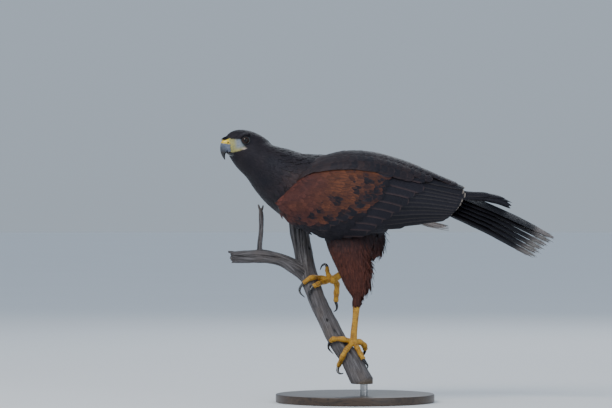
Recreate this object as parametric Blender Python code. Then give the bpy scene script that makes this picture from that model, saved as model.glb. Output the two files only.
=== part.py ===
"""A harris hawk, life size, leaning forward on a cut length of dead branch that a plain stand holds up.

The hawk faces -X and its left side is towards -Y. The floor is at z = 0 and the origin is the middle of the
stand's underside. Every size below is in millimetres.
"""

import math

import bmesh
import bpy
import numpy as np

MM = 0.001  # metres in a millimetre
GAP = 0.3  # clear space between neighbouring parts
DENSE = 240  # points along a curve before it is spaced evenly

# Trunk: rings square to one curved spine

SPINE = (  # x, z, half height, half width
    (-172, 373, 22, 19),
    (-156, 361, 29, 26),
    (-138, 348, 33, 30),
    (-118, 333.5, 42, 37),
    (-91, 316.5, 50, 46),
    (-58, 305, 57, 54),
    (-18, 298, 61, 56),
    (30, 295, 51, 50),
    (70, 295, 35, 37),
    (100, 291, 23, 25),
    (118, 288, 15, 17),
)
SPINE_ROWS = 33  # rings from head to rump
BODY_SIDES = 18
HEAD_CUT_ROW = 7  # ring where the head ends and the neck starts
NECK_CUT_ROW = 12  # ring where the neck ends and the torso starts

# Head, in its own frame: forward to the bill, up to the crown, out to its own left side

HEAD_PLACE = np.array([-160.6, 0.0, 376.0])  # the head frame's origin, between the eyes
HEAD_TURN = math.radians(28)  # towards the left
HEAD_NOD = math.radians(8)  # bill down
EYE_RADIUS = 6.3
EYE_PLACE = (6.0, 16.6, 4.0)  # forward, out, up
HEAD_ROWS = (  # forward, up, half width, half height
    (-40, -21, 14, 16),
    (-33, -16.5, 20, 19),
    (-22, -10.5, 24, 21.5),
    (-9, -5, 24.3, 22.5),
    (5, -1.2, 22, 22.2),
    (16, -0.3, 17.5, 20.6),
    (25, 0.2, 12.5, 16.8),
    (31, 1.8, 9, 11.6),
    (34.5, 3.2, 6.6, 7.0),
)
HEAD_SIDES = 16
LID_STEPS = 12
LID_SIDES = 5
LID_RADIUS = 6.1
LID_THICK = 1.3
LID_FORWARD = 2.2
LID_SQUASH = 0.9  # the lid opening's height over its length
GAZE_FORWARD = 0.42  # how far the line of sight leans forward for each unit outwards
BROW_SIZE = (11.5, 3.2, 3.0)  # half length, half width, half height
BROW_PLACE = (9.0, 17.0, 11.6)  # forward, out, up

# Bill: cere, hooked upper half, short lower half and the mouth

BILL_PATH = (  # forward, up, half height, half width, degrees that the ring is tipped down
    (22.5, 0.3, 10.8, 8.4, 0),
    (26.0, 0.1, 10.2, 7.6, 4),
    (29.2, -0.6, 9.2, 6.6, 12),
    (32.8, -2.9, 7.4, 5.2, 30),
    (35.2, -7.0, 5.2, 3.9, 55),
    (36.0, -11.7, 3.3, 2.6, 80),
    (35.6, -16.3, 1.7, 1.5, 96),
    (34.6, -20.2, 0.5, 0.5, 104),
)
CERE_ROWS = 7  # bill rings that the cere covers
BILL_ROWS = 19
BILL_SIDES = 14
JAW_ROWS = (  # forward, up, half width, half height
    (16, -14.5, 8.0, 3.6),
    (22, -14.2, 7.0, 3.6),
    (26.5, -13.4, 5.0, 3.2),
    (29.6, -12.4, 2.8, 2.0),
    (31.2, -11.8, 1.0, 0.9),
)
NOSTRIL_PLACE = (26.5, 6.3, 2.4)  # forward, out, up
NOSTRIL_SIZE = (1.9, 2.6, 1.3)
MOUTH_ROWS = (  # forward, up, half width of the slit, from the mouth's corner to the bill's side
    (7, -12.0, 26),
    (14, -11.4, 24),
    (20, -10.4, 20),
    (26, -10.2, 16),
    (30.8, -11.0, 16),
)
GAPE_THICK = 0.7

# Legs, feet and the branch that they grip

BRANCH_AXIS = (  # x, y, z, radius
    (12, -51, 29, 15.5),
    (6, -45.5, 39, 15.5),
    (-4.5, -34.2, 59.5, 14.6),
    (-24.7, -18, 88.5, 13.4),
    (-40.6, -1.2, 119, 13.0),
    (-55, 15, 148, 13.0),
    (-64, 28.7, 172.6, 13.0),
    (-72.5, 45.5, 203, 13.3),
    (-79, 63, 234, 13.5),
    (-84, 81, 266, 13.5),
)
BRANCH_ROWS = 22
BRANCH_SIDES = 12
TOE_JOINTS = (1.0, 0.88, 0.98, 0.84, 0.94, 0.84)  # share of full thickness along a toe
TOE_THICK = 3.9
HALLUX_THICK = 4.3
TALON_THICK = 2.3
TALON_POINT = 0.35
TALON_ROOT = 1.6  # how far a talon is let into its toe
PALM_RADIUS = 6.6
TOE_STAND_OFF = TOE_THICK + GAP
LEFT_PALM = np.array([-2.5, -29.0, 88.0])
RIGHT_PALM = np.array([-31.5, 20.0, 177.0])
LEFT_LEG = ((1.6, -29.5, 140.7, 5.2), (0.2, -29.4, 122, 4.4), (-2.0, -29.4, 101, 4.8), (*LEFT_PALM, 5.4))
RIGHT_LEG = ((19, 32, 210, 5.6), (0, 28.5, 197, 4.6), (-20, 23.5, 184.5, 4.9), (*RIGHT_PALM, 5.4))
LEG_ROWS = 13
ANKLE_ROW = 9  # leg ring where the tarsus ends and the foot starts
THIGH_SIDES = 14
LEFT_THIGH = (  # x, y, z, half length, half width
    (-8, -24, 262, 46, 14),
    (-7, -27, 240, 41, 17),
    (-7.5, -31, 215, 31.5, 20),
    (-0.5, -32, 189, 26.5, 17),
    (2.8, -31, 166, 19.0, 13),
    (2.8, -30, 152, 9.6, 8.5),
    (1.6, -29.5, 141, 6.4, 6.2),
)
RIGHT_THIGH = (
    (6, 22, 262, 38, 13),
    (12, 26, 246, 34, 16),
    (19, 30, 231, 27, 17),
    (23, 32, 217, 19, 14),
    (21, 33, 208, 10, 10),
    (14, 32.5, 203, 6, 7),
)
LEFT_LOCKS = (  # share down the thigh, degrees round it from the rear towards the left, length
    (0.28, -35, 22), (0.33, 15, 21), (0.42, -55, 20), (0.5, 40, 19), (0.58, -38, 20),
    (0.62, 10, 19), (0.72, -60, 15), (0.75, -20, 16), (0.77, 35, 14), (0.86, -45, 11), (0.87, 5, 12),
    (0.93, -100, 8), (0.94, 60, 8),
)
RIGHT_LOCKS = (
    (0.25, 25, 20), (0.32, -20, 21), (0.45, 30, 20), (0.5, -10, 20), (0.62, 40, 17), (0.68, 0, 19),
    (0.8, 50, 13),
)
LOCK_WIDTH = 9.0
LOCK_THICK = 3.4
LOCK_LEAN = 0.24  # how far a lock leans out for each mm of length

# Feather vanes and locks

VANE_SHARES = ((0, 0.55), (0.3, 0.9), (0.65, 1.0), (0.88, 0.8), (1, 0.3))  # width along a vane, as shares
VANE_TIP_THICK = 0.5
LOCK_BEND = 1.5  # a lock's bulge outwards at its middle

# Folded wings

WING_ROWS = (  # x, top, bottom, half width
    (-114, 291, 281, 39),
    (-108, 301, 269, 43),
    (-97, 318, 258, 49),
    (-75, 340, 248.5, 59),
    (-45, 354, 237, 65),
    (-10, 360.5, 234, 68),
    (12, 360, 235, 67),
    (28, 357.5, 241, 65),
    (44, 354, 251, 61),
    (70, 345.5, 257, 52),
    (90, 338, 260, 45),
    (125, 323.5, 266, 34),
    (145, 316, 273, 30),
    (160, 309.5, 291, 25),
    (187, 304.5, 291.5, 19),
    (210, 298, 286.5, 15),
    (232, 286, 278, 11),
)
TOP_ANGLE = 75  # degrees up from level where a wing's face starts
LOWER_ANGLES = (  # x, degrees where the face ends
    (-114, -70),
    (0, -62),
    (60, -50),
    (134, -35),
    (160, -25),
    (232, -20),
)
FLANK_SQUARE = 0.8  # below 1 makes the flank fuller than an ellipse
PLATE_XS = (-114, -107, -96, -80, -55, -25, 10, 45, 75, 100, 112)
PLATE_DOWN = 7  # points down the wing's plate
PLATE_DEPTHS = ((-114, 9), (-70, 11), (30, 7), (112, 3.5))  # x, greatest depth
PLATE_EDGE = 0.35  # share of that depth along the plate's edges
SINK = 1.2  # how deep a vane's root lies in the wing
PLATE_BITE = 2.2  # how far a vane over the plate reaches down into it
TIERS = (  # count, first and last root, first, middle and last tip, lift, drop a vane, width, thick, rows
    (7, (38, 336), (16, 251), (156, 305.5), (152, 290), (133.5, 273), 2.7, 0.28, 11.5, 1.3, 4),
    (7, (44, 335), (-26, 248), (101, 320.5), (74, 290), (20, 253), 3.7, 0.25, 18, 1.3, 4),
    (6, (14, 338), (-62, 259), (55, 328), (12, 286), (-30, 261), 4.3, 0.25, 21, 1.3, 3),
)
PRIMARIES = (  # the path of each, and how far it stands off the wing's face
    (((104, 300), (155, 301), (195, 298.5), (212, 295.5)), 2.4),
    (((104, 304), (160, 304), (200, 297.5), (227, 288)), 0.9),
    (((104, 301), (160, 300), (200, 293), (224.5, 280.5)), -0.6),
    (((104, 299), (155, 297.5), (185, 293.5), (205, 288)), -2.1),
)
PRIMARY_WIDTH = 11.5
PRIMARY_THICK = 1.2
SCAPULARS = ((0, 348.5), (33, 345.5), (66, 339), (98, 329.5), (127, 318.5))  # x, z of each tip
SCAPULAR_LENGTH = 48.0
SCAPULAR_WIDTH = 19.0
SCAPULAR_THICK = 1.3
SCAPULAR_LIFT = 3.4
ARCH = 3.0  # a covert's rise at its middle

# Tail

TAIL_PAIRS = 6
TAIL_ROOTS = ((100, 2.5, 304), (102, 7, 298))  # middle feather, outermost feather
TAIL_MIDDLES = ((178, 4, 284), (172, 31, 262))
TAIL_TIPS = ((285.7, 4.5, 234), (259, 46, 214))
TAIL_KNEES = ((138, 3, 299), (136, 19, 279))
TAIL_BENDS = ((228, 4, 262), (214, 40, 239))
TAIL_WIDTH = 19.0
TAIL_THICK = 1.2
TAIL_STEP = 1.7  # from each feather down to the next
TAIL_CROSS = 0.8  # how far the two halves pass over and under level
ROOF_NORMAL = (0.42, 0.52, 0.8)  # which way the left half's feathers face
UNDERTAIL = (-15, -8, 0, 8, 15)  # y of each undertail covert

# Perch

LIMB_PATH = ((-70, 38, 186, 12.5), (-84, 37, 193, 11), (-105, 35, 204, 9.6), (-130, 32, 210, 9.6),
             (-156, 28, 210, 9.8), (-178, 25, 209, 8.6))
TWIG_PATH = ((-139, 31, 212, 5.0), (-138.5, 31, 226, 3.9), (-136.5, 32, 250, 3.5), (-136.5, 32.5, 270, 3.6),
             (-137.5, 33, 286, 3.0))
BRANCH_FOOT = 29.0  # height of the branch's level cut foot

# Stand

BASE_RADIUS = 115.0
BASE_HEIGHT = 12.0
BASE_EDGE = 1.5  # chamfer
BASE_SIDES = 36
ROD_RADIUS = 5.5
ROD_PLACE = (12.0, -51.0)  # x, y


# Clearing the scene and making materials

for old in list(bpy.data.objects):
    bpy.data.objects.remove(old, do_unlink=True)


def finish_of(name, colour, roughness, metallic=0.0):
    """A Principled material of one colour."""
    material = bpy.data.materials.new(name)
    material.use_nodes = True
    shader = material.node_tree.nodes["Principled BSDF"]
    shader.inputs["Base Color"].default_value = (*colour, 1.0)
    shader.inputs["Roughness"].default_value = roughness
    shader.inputs["Metallic"].default_value = metallic
    material.diffuse_color = (*colour, 1.0)
    return material


DARK_PLUMAGE = finish_of("dark_plumage", (0.030, 0.024, 0.026), 0.75)
CHESTNUT_PLUMAGE = finish_of("chestnut_plumage", (0.16, 0.050, 0.026), 0.75)
TAIL_PLUMAGE = finish_of("tail_plumage", (0.022, 0.018, 0.020), 0.7)
YELLOW_SKIN = finish_of("yellow_skin", (0.62, 0.33, 0.05), 0.5)
CERE_SKIN = finish_of("cere_skin", (0.78, 0.56, 0.07), 0.4)
BILL_HORN = finish_of("bill_horn", (0.10, 0.13, 0.17), 0.3)
TALON_HORN = finish_of("talon_horn", (0.012, 0.012, 0.014), 0.25)
EYE_GLOSS = finish_of("eye_gloss", (0.035, 0.014, 0.008), 0.05)
DEAD_WOOD = finish_of("dead_wood", (0.17, 0.15, 0.145), 0.85)
STAND_WOOD = finish_of("stand_wood", (0.055, 0.040, 0.030), 0.45)
STAND_STEEL = finish_of("stand_steel", (0.45, 0.45, 0.46), 0.3, 1.0)


# Meshes, smooth curves, lofts and joins that every part uses

def solid(name, points, faces, material):
    """An object from points in millimetres and faces, cut into triangles and facing out."""
    mesh = bpy.data.meshes.new(name)
    mesh.from_pydata((np.asarray(points, float) * MM).tolist(), [], faces)
    work = bmesh.new()
    work.from_mesh(mesh)
    bmesh.ops.triangulate(work, faces=work.faces)
    bmesh.ops.recalc_face_normals(work, faces=work.faces)
    work.to_mesh(mesh)
    work.free()
    mesh.materials.append(material)
    made = bpy.data.objects.new(name, mesh)
    bpy.context.scene.collection.objects.link(made)
    return made


def through(stations, count):
    """Rows spread evenly along a Catmull-Rom curve through the stations, whose columns are any sizes."""
    rows = np.asarray(stations, float)
    padded = np.vstack([2 * rows[0] - rows[1], rows, 2 * rows[-1] - rows[-2]])
    place = np.linspace(0, len(rows) - 1, count)
    left = np.minimum(place.astype(int), len(rows) - 2)
    t = (place - left)[:, None]
    a, b, c, d = (padded[left + k] for k in range(4))
    return b + 0.5 * t * (c - a + t * (2 * a - 5 * b + 4 * c - d + t * (3 * (b - c) + d - a)))


def evenly(stations, count):
    """Rows at even distances along the same curve. The first three columns are its points."""
    dense = through(stations, DENSE)
    steps = np.linalg.norm(np.diff(dense[:, :3], axis=0), axis=1)
    run = np.concatenate([[0], np.cumsum(steps)])
    wanted = np.linspace(0, run[-1], count)
    return np.stack([np.interp(wanted, run, column) for column in dense.T], axis=1)


def unit(vectors):
    vectors = np.asarray(vectors, float)
    return vectors / np.linalg.norm(vectors, axis=-1, keepdims=True)


def tube_faces(rings, sides):
    """Quads between rings of points, and a flat cap on each end."""
    faces = []
    for ring in range(rings - 1):
        for side in range(sides):
            a = ring * sides + side
            b = ring * sides + (side + 1) % sides
            faces.append((a, b, b + sides, a + sides))
    faces.append(tuple(range(sides)))
    faces.append(tuple(range((rings - 1) * sides, rings * sides)))
    return faces


def loft(name, centre, across, upward, half_width, half_height, sides, material, square=1.0):
    """A closed form of elliptic rings: each ring has its own centre, two axes and two half sizes."""
    angle = np.linspace(0, 2 * np.pi, sides, endpoint=False)
    wide = np.sign(np.cos(angle)) * np.abs(np.cos(angle)) ** square
    high = np.sign(np.sin(angle)) * np.abs(np.sin(angle)) ** square
    ring = (
        centre[:, None, :]
        + across[:, None, :] * (half_width[:, None] * wide)[:, :, None]
        + upward[:, None, :] * (half_height[:, None] * high)[:, :, None]
    )
    return solid(name, ring.reshape(-1, 3), tube_faces(len(centre), sides), material)


def carried(along, hint):
    """Unit vectors square to a curve's directions, each the one before turned as little as it can be."""
    across = [np.asarray(hint, float)]
    for direction in along:
        last = across[-1]
        across.append(unit(last - direction * (direction @ last)))
    return np.array(across[1:])


def limb(name, stations, count, sides, material, hint=(0, 1, 0), first=0, last=None, trim=0.0):
    """A round tapering tube along a smooth curve; a station is x, y, z and radius.
    first and last pick a length of it by its rings, and trim moves that length's first ring in."""
    rows = evenly(stations, count)
    along = unit(np.gradient(rows[:, :3], axis=0))
    across = carried(along, hint)
    rows, along, across = (part[first:last].copy() for part in (rows, along, across))
    rows[0, :3] += along[0] * trim
    return loft(name, rows[:, :3], across, np.cross(across, along), rows[:, 3], rows[:, 3], sides, material)


def hide_as_cutter(cutter):
    cutter.hide_render = True
    cutter.display_type = "WIRE"
    return cutter


def keep_largest_surface(mesh):
    """Deletes every closed surface of the mesh but the one that holds most."""
    work = bmesh.new()
    work.from_mesh(mesh)
    left = set(work.faces)
    shells = []
    while left:
        shell = set()
        edge_of_search = [left.pop()]
        while edge_of_search:
            face = edge_of_search.pop()
            shell.add(face)
            near = {f for e in face.edges if len(e.link_faces) == 2 for f in e.link_faces} & left
            left -= near
            edge_of_search.extend(near)
        shells.append(shell)
    if len(shells) > 1:
        held = [sum(f.calc_center_median().dot(f.normal) * f.calc_area() for f in s) for s in shells]
        largest = shells[int(np.argmax(held))]
        bmesh.ops.delete(work, geom=[f for f in work.faces if f not in largest], context="FACES")
    bmesh.ops.triangulate(work, faces=work.faces)
    work.to_mesh(mesh)
    work.free()


def fuse(name, pieces, material, cutters=(), solver="EXACT"):
    """Joins the pieces into one closed body called name, takes the cutters from it and uses the pieces up."""
    body = pieces[0]
    body.name = name
    if len(pieces) > 1:
        group = bpy.data.collections.new(name + "_pieces")
        for piece in pieces[1:]:
            group.objects.link(piece)
        join = body.modifiers.new("join", "BOOLEAN")
        join.operation = "UNION"
        join.operand_type = "COLLECTION"
        join.collection = group
        join.solver = solver
    for cutter in cutters:
        take = body.modifiers.new("take", "BOOLEAN")
        take.operation = "DIFFERENCE"
        take.object = cutter
        take.solver = solver
    bpy.context.view_layer.update()
    mesh = bpy.data.meshes.new_from_object(body.evaluated_get(bpy.context.evaluated_depsgraph_get()))
    body.modifiers.clear()
    body.data = mesh
    for piece in pieces[1:]:
        bpy.data.objects.remove(piece, do_unlink=True)
    if len(pieces) > 1:
        bpy.data.collections.remove(group)
    keep_largest_surface(mesh)
    mesh.materials.clear()
    mesh.materials.append(material)
    mesh.shade_smooth()
    mesh.set_sharp_from_angle(angle=math.radians(35))
    return body


# The trunk's line: neck, breast, back and rump as rings square to one curved spine


def spine_rows(swell=0.0):
    """Ring centres, axes and half sizes along the spine, each ring swell larger all round."""
    rows = through(SPINE, SPINE_ROWS)
    centre = np.stack([rows[:, 0], np.zeros(len(rows)), rows[:, 1]], axis=1)
    along = unit(np.gradient(centre, axis=0))
    across = np.tile([0.0, 1.0, 0.0], (len(rows), 1))
    upward = np.cross(along, across)
    return centre, along, across, upward, rows[:, 3] + swell, rows[:, 2] + swell


def body_form(name, first, last, material, swell=0.0, trim_start=0.0, trim_end=0.0):
    """The body between two rows of the spine, its end rings moved inwards by the trims."""
    centre, along, across, upward, wide, high = (part[first:last + 1].copy() for part in spine_rows(swell))
    centre[0] += along[0] * trim_start
    centre[-1] -= along[-1] * trim_end
    return loft(name, centre, across, upward, wide, high, BODY_SIDES, material)


neck = body_form("neck", HEAD_CUT_ROW, NECK_CUT_ROW, DARK_PLUMAGE, trim_start=GAP / 2, trim_end=GAP / 2)
torso = body_form("torso", NECK_CUT_ROW, SPINE_ROWS - 1, DARK_PLUMAGE, trim_start=GAP / 2)
for made in (neck, torso):
    fuse(made.name, [made], DARK_PLUMAGE)
body_cutter = hide_as_cutter(body_form("body_cutter", 0, SPINE_ROWS - 1, DARK_PLUMAGE, swell=GAP))


# The head, in its own frame: forward to the bill, up to the crown, out to its own left side


def head_axes():
    """Unit vectors forward, left and up of the turned and nodding head."""
    level = np.array([-math.cos(HEAD_TURN), -math.sin(HEAD_TURN), 0.0])
    lift = np.array([0.0, 0.0, 1.0])
    forward = level * math.cos(HEAD_NOD) - lift * math.sin(HEAD_NOD)
    upward = level * math.sin(HEAD_NOD) + lift * math.cos(HEAD_NOD)
    return forward, np.cross(upward, forward), upward


FORWARD, LEFT, UP = head_axes()


def in_head(forward, left, up):
    """A point of the head's own frame, in the hawk's frame."""
    return HEAD_PLACE + FORWARD * forward + LEFT * left + UP * up


def head_loft(name, rows, count, sides, material):
    """Upright elliptic rings along the head's forward axis."""
    rows = through(rows, count)
    centre = np.array([in_head(f, 0, u) for f, u in rows[:, :2]])
    across = np.tile(LEFT, (count, 1))
    upward = np.tile(UP, (count, 1))
    return loft(name, centre, across, upward, rows[:, 2], rows[:, 3], sides, material)


def ball(name, place, radii, material, across=12, down=8, axes=None):
    """An ellipsoid with its own three axes; the first is its pole."""
    axes = np.eye(3) if axes is None else np.asarray(axes)
    polar = np.linspace(0, np.pi, down + 1)[1:-1]
    turn = np.linspace(0, 2 * np.pi, across, endpoint=False)
    local = [(radii[0], 0, 0)]
    for p in polar:
        flat, out = radii[0] * math.cos(p), math.sin(p)
        local += [(flat, radii[1] * out * math.cos(t), radii[2] * out * math.sin(t)) for t in turn]
    local.append((-radii[0], 0, 0))
    faces = [(0, 1 + k, 1 + (k + 1) % across) for k in range(across)]
    for ring in range(len(polar) - 1):
        for k in range(across):
            a = 1 + ring * across + k
            b = 1 + ring * across + (k + 1) % across
            faces.append((a, a + across, b + across, b))
    last = len(local) - 1
    faces += [(last, last - across + (k + 1) % across, last - across + k) for k in range(across)]
    return solid(name, np.asarray(place) + np.asarray(local) @ axes, faces, material)


def ring_round_eye(name, side):
    """The lid: a soft ring round the eye, square to the eye's own line of sight."""
    place, gaze = eye_place(side)
    first = unit(np.cross(gaze, UP))
    second = np.cross(gaze, first)
    turn = np.linspace(0, 2 * np.pi, LID_STEPS, endpoint=False)
    small = np.linspace(0, 2 * np.pi, LID_SIDES, endpoint=False)
    middle = place + gaze * LID_FORWARD
    points = []
    for t in turn:
        out = first * math.cos(t) + second * math.sin(t) * LID_SQUASH
        for s in small:
            round_it = out * (LID_RADIUS + LID_THICK * math.cos(s)) + gaze * LID_THICK * math.sin(s)
            points.append(middle + round_it)
    faces = []
    for i in range(LID_STEPS):
        for j in range(LID_SIDES):
            a = i * LID_SIDES + j
            b = i * LID_SIDES + (j + 1) % LID_SIDES
            c = ((i + 1) % LID_STEPS) * LID_SIDES + (j + 1) % LID_SIDES
            d = ((i + 1) % LID_STEPS) * LID_SIDES + j
            faces.append((a, b, c, d))
    return solid(name, points, faces, DARK_PLUMAGE)


def eye_place(side):
    """The eye's centre and the unit vector it looks along; side is 1 on the left and -1 on the right."""
    forward, out, up = EYE_PLACE
    return in_head(forward, side * out, up), unit(LEFT * side + FORWARD * GAZE_FORWARD)


def brow(side):
    """The bony ridge that shades the eye, running forward and down to the bill."""
    forward, out, up = BROW_PLACE
    run = unit(FORWARD - LEFT * side * 0.42 - UP * 0.22)
    rise = unit(UP - run * (UP @ run))
    return ball("brow", in_head(forward, side * out, up), BROW_SIZE, DARK_PLUMAGE, 8, 6,
                (run, np.cross(run, rise), rise))


head_skin = head_loft("head_skin", HEAD_ROWS, 15, HEAD_SIDES, DARK_PLUMAGE)
neck_stub = body_form("neck_stub", 0, HEAD_CUT_ROW, DARK_PLUMAGE, trim_end=GAP / 2)


def neck_plane_block():
    """A slab that fills everything behind the plane where the head ends and the neck starts."""
    centre, along, across, upward, _, _ = spine_rows()
    start = centre[HEAD_CUT_ROW] - along[HEAD_CUT_ROW] * GAP / 2
    corners = [
        start + along[HEAD_CUT_ROW] * a + across[HEAD_CUT_ROW] * b + upward[HEAD_CUT_ROW] * c
        for a in (0, 80) for b in (-70, 70) for c in (-70, 70)
    ]
    faces = [(0, 1, 3, 2), (4, 6, 7, 5), (0, 4, 5, 1), (2, 3, 7, 6), (0, 2, 6, 4), (1, 5, 7, 3)]
    return hide_as_cutter(solid("neck_plane_block", corners, faces, DARK_PLUMAGE))


# The bill: yellow cere, hooked upper half, short lower half, with the line of the mouth between them


def bill_rings(first, last, swell=0.0):
    """Rings of the bill, between two of its rows, that turn from facing forward to facing down."""
    rows = through(BILL_PATH, BILL_ROWS)[first:last + 1]
    tip = np.radians(rows[:, 4])
    centre = np.array([in_head(f, 0, u) for f, u in rows[:, :2]])
    upward = np.cos(tip)[:, None] * UP + np.sin(tip)[:, None] * FORWARD
    return centre, np.tile(LEFT, (len(rows), 1)), upward, rows[:, 3] + swell, rows[:, 2] + swell


def bill_piece(name, first, last, material, start_trim=0.0, swell=0.0):
    centre, across, upward, wide, high = bill_rings(first, last, swell)
    centre[0] += FORWARD * start_trim
    return loft(name, centre, across, upward, wide, high, BILL_SIDES, material, square=0.9)


def mouth_line():
    """A thin curved slit from under the eye to the bill's side, open at the front."""
    rows = []
    for f, u, half in MOUTH_ROWS:
        for thick in (GAPE_THICK / 2, -GAPE_THICK / 2):
            for side in (half, -half):
                rows.append(in_head(f, side, u + thick))
    faces = []
    for k in range(4):
        a = 4 * k
        faces += [(a, a + 1, a + 5, a + 4), (a + 1, a + 3, a + 7, a + 5),
                  (a + 3, a + 2, a + 6, a + 7), (a + 2, a, a + 4, a + 6)]
    faces += [(0, 2, 3, 1), (16, 17, 19, 18)]
    return hide_as_cutter(solid("mouth_slit", rows, faces, DARK_PLUMAGE))


def nostril(side):
    forward, out, up = NOSTRIL_PLACE
    return hide_as_cutter(ball("nostril", in_head(forward, side * out, up), NOSTRIL_SIZE, CERE_SKIN, 8, 6,
                               (FORWARD, LEFT, UP)))


def eyeball(name, side, radius):
    """A ball whose pole looks out; the socket is the same ball, a gap larger."""
    place, gaze = eye_place(side)
    first = unit(np.cross(gaze, UP))
    return ball(name, place, (radius,) * 3, EYE_GLOSS, 12, 8, (gaze, first, np.cross(gaze, first)))


def make_head():
    """Head, cere, both halves of the bill and the two eyes, each clear of the next by the gap."""
    slit = mouth_line()
    bill_cutter = hide_as_cutter(bill_piece("bill_cutter", 0, BILL_ROWS - 1, CERE_SKIN, -1.0, GAP))
    jaw_cutter = hide_as_cutter(head_loft("jaw_cutter", [(f, u, w + GAP, h + GAP) for f, u, w, h in JAW_ROWS],
                                          8, 10, BILL_HORN))
    sockets = [hide_as_cutter(eyeball("socket", side, EYE_RADIUS + GAP)) for side in (1, -1)]
    pieces = [head_skin, neck_stub]
    pieces += [brow(side) for side in (1, -1)]
    pieces += [ring_round_eye("lid", side) for side in (1, -1)]
    cutters = [neck_plane_block(), bill_cutter, jaw_cutter, slit, *sockets]
    fuse("head", pieces, DARK_PLUMAGE, cutters, "MANIFOLD")
    for side, name in ((1, "eye_left"), (-1, "eye_right")):
        fuse(name, [eyeball(name, side, EYE_RADIUS)], EYE_GLOSS)
    cere = bill_piece("cere", 0, CERE_ROWS, CERE_SKIN)
    fuse("cere", [cere], CERE_SKIN, [nostril(1), nostril(-1), slit])
    upper = bill_piece("bill_upper", CERE_ROWS, BILL_ROWS - 1, BILL_HORN, GAP)
    jaw = head_loft("bill_lower", JAW_ROWS, 8, 10, BILL_HORN)
    fuse("bill_upper", [upper], BILL_HORN, [slit, jaw_cutter])
    fuse("bill_lower", [jaw], BILL_HORN, [slit, bill_cutter])


# Legs: feathered thighs, scaled tarsi, four toes each with a talon, set round the branch


def near_side(x, z, stand_off):
    """The point seen from -Y at x and z that lies stand_off outside the branch, or beside it if it misses."""
    axis = through(BRANCH_AXIS, 400)
    depth = np.linspace(-110, 110, 1101)
    spots = np.stack([np.full_like(depth, x), depth, np.full_like(depth, z)], axis=1)
    apart = np.linalg.norm(spots[:, None, :] - axis[None, :, :3], axis=2) - axis[None, :, 3]
    apart = apart.min(axis=1)
    inside = np.nonzero(apart <= stand_off)[0]
    return spots[inside[0] if len(inside) else int(np.argmin(apart))]


def toe(name, points, thick):
    """A toe through its points, a little fatter at each joint's pad, with a blunt flat end for the talon."""
    rows = through(points, len(TOE_JOINTS))
    stations = [(*row, thick * share) for row, share in zip(rows, TOE_JOINTS)]
    return limb(name, stations, 10, 7, YELLOW_SKIN, hint=(1, 0.2, 0.3))


def talon(name, points, thick, swell=0.0):
    """A round hooked claw that tapers to a blunt needle point. swell makes it larger all round."""
    rows = through(points, 8)
    taper = np.linspace(1, 0, 8) ** 0.7
    start = np.array(points[0]) + unit(np.array(points[0]) - points[1]) * swell
    rows[0] = start
    radii = TALON_POINT + swell + (thick - TALON_POINT) * taper
    stations = [(*row, radius) for row, radius in zip(rows, radii)]
    return limb(name, stations, 9, 7, TALON_HORN, hint=(1, 0.2, 0.3))


def make_foot(side_name, palm, leg, toes):
    """A foot of four toes from one palm. A toe is its path past the palm, its talon path and a thickness."""
    branch_cutter = hide_as_cutter(limb("branch_cutter", [(x, y, z, r + GAP) for x, y, z, r in BRANCH_AXIS],
                                        BRANCH_ROWS, BRANCH_SIDES, DEAD_WOOD))
    pieces = [ball("palm", palm, (PALM_RADIUS,) * 3, YELLOW_SKIN, 10, 8)]
    pieces.append(limb("ankle", leg, LEG_ROWS, 10, YELLOW_SKIN, first=ANKLE_ROW, trim=GAP))
    cutters = [branch_cutter]
    for number, (path, hook, thick) in enumerate(toes, 1):
        pieces.append(toe("toe", [palm, *path], thick))
        last = np.asarray(path[-1], float)
        root = last + unit(path[-2] - last) * TALON_ROOT
        claw = [root, last, *hook]
        name = f"talon_{side_name}_{number}"
        fuse(name, [talon(name, claw, TALON_THICK)], TALON_HORN)
        cutters.append(hide_as_cutter(talon("talon_cutter", claw, TALON_THICK, GAP)))
    fuse(f"foot_{side_name}", pieces, YELLOW_SKIN, cutters, "MANIFOLD")


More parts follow.
